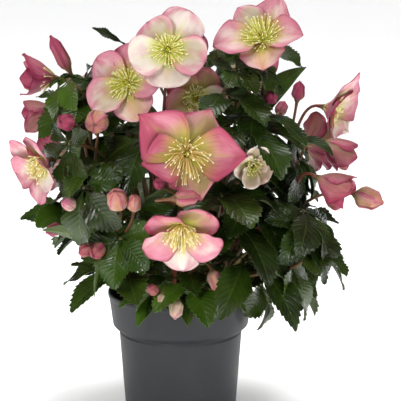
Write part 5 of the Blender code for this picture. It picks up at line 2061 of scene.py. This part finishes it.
@dataclass
class Studio:
    """A pale floor in white surroundings, soft lights and the camera of the photograph."""

    camera_spot: Triple = (0.0193, -1.74, 0.591)
    camera_pitch: float = 12.27
    focal_pixels: float = 1863.0
    frame_pixels: float = 401.0
    sensor: float = 36.0
    sight: float = 60.0
    lamps: tuple[tuple[str, Triple, float, float], ...] = (
        ("key", (-0.8, -1.7, 1.3), 0.6, 19.0),
        ("fill", (1.4, -1.4, 1.0), 0.5, 8.0),
        ("top", (0.1, 0.1, 1.7), 0.8, 13.0),
    )
    aim: Triple = (0.0, 0.0, 0.24)
    sky_light: float = 0.07
    floor_size: float = 9.0
    floor_light: float = 2.9
    floor_softness: float = 100.0
    floor_lamp_height: float = 2.0
    paper: Colour = paint(250, 250, 250)
    paper_shade: Colour = paint(246, 246, 246)
    paper_grain: Grain = Grain(3.0)

    def build(self) -> None:
        """Set up the floor, the lights, the surroundings and the camera."""
        scene = bpy.context.scene
        scene.view_settings.view_transform = "Standard"
        self.light_floor(self.add_floor())
        for name, spot, size, power in self.lamps:
            self.add_lamp(name, Vector(spot), size, power)
        scene.world = self.surroundings()
        lens = bpy.data.cameras.new("camera")
        lens.sensor_width = self.sensor
        lens.lens = self.focal_pixels / self.frame_pixels * self.sensor
        lens.clip_end = self.sight
        camera = new_object("camera", lens)
        camera.location = self.camera_spot
        camera.rotation_euler = (math.pi / 2 - math.radians(self.camera_pitch), 0.0, 0.0)
        scene.camera = camera

    def surroundings(self) -> bpy.types.World:
        """Return a world that looks white and lights the plant faintly."""
        world = bpy.data.worlds.new("studio")
        world.use_nodes = True
        tree = world.node_tree
        seen = tree.nodes.new("ShaderNodeLightPath").outputs["Is Camera Ray"]
        strength = tree.nodes.new("ShaderNodeMapRange")
        tree.links.new(seen, strength.inputs[0])
        strength.inputs[3].default_value = self.sky_light
        strength.inputs[4].default_value = 1.0
        tree.nodes["Background"].inputs[0].default_value = (1.0, 1.0, 1.0, 1.0)
        tree.links.new(strength.outputs[0], tree.nodes["Background"].inputs[1])
        return world

    def light_floor(self, floor: Body) -> None:
        """Light the floor alone, evenly from above."""
        light = bpy.data.lights.new("floor_light", "SUN")
        light.energy = self.floor_light
        light.angle = math.radians(self.floor_softness)
        lamp = new_object("floor_light", light)
        lamp.location = (0.0, 0.0, self.floor_lamp_height)
        lit = bpy.data.collections.new("floor_only")
        lit.objects.link(floor)
        lamp.light_linking.receiver_collection = lit

    def add_floor(self) -> Body:
        """Lay the pale floor and return it."""
        part = bmesh.new()
        bmesh.ops.create_grid(part, x_segments=1, y_segments=1, size=self.floor_size)
        shade = Shade("floor_paper", {"Roughness": 0.9, "Specular IOR Level": 0.2})
        paper = shade.mix(shade.grain(self.paper_grain), self.paper, self.paper_shade)
        floor = new_object("floor", to_mesh("floor", part))
        floor.data.materials.append(shade.close(paper))
        floor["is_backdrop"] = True
        return floor

    def add_lamp(self, name: str, spot: Vector, size: float, power: float) -> None:
        """Hang a soft square light that faces the plant."""
        light = bpy.data.lights.new(name, "AREA")
        light.size = size
        light.energy = power
        lamp = new_object(name, light)
        lamp.location = spot
        lamp.rotation_euler = (spot - Vector(self.aim)).to_track_quat("Z", "Y").to_euler()


def main() -> None:
    """Build every piece in order, and report it."""
    logging.basicConfig(level=logging.INFO, format="%(name)s: %(message)s")
    palette = Palette()
    NurseryPot(palette).build()
    CompostPlug(palette).build()
    for stem in STEMS:
        FlowerStem(palette, stem).build()
    for leaf in LEAVES:
        LeafFan(palette, leaf).build()
    InnerLeaves(palette).build()
    for bloom in BLOOMS:
        BloomHead(palette, bloom).build()
        if bloom.filament_length:
            StamenTuft(palette, bloom).build()
    Studio().build()
    [[list(corner) for corner in box] for box in (CAD_BOX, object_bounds())]


if __name__ == "__main__":
    main()
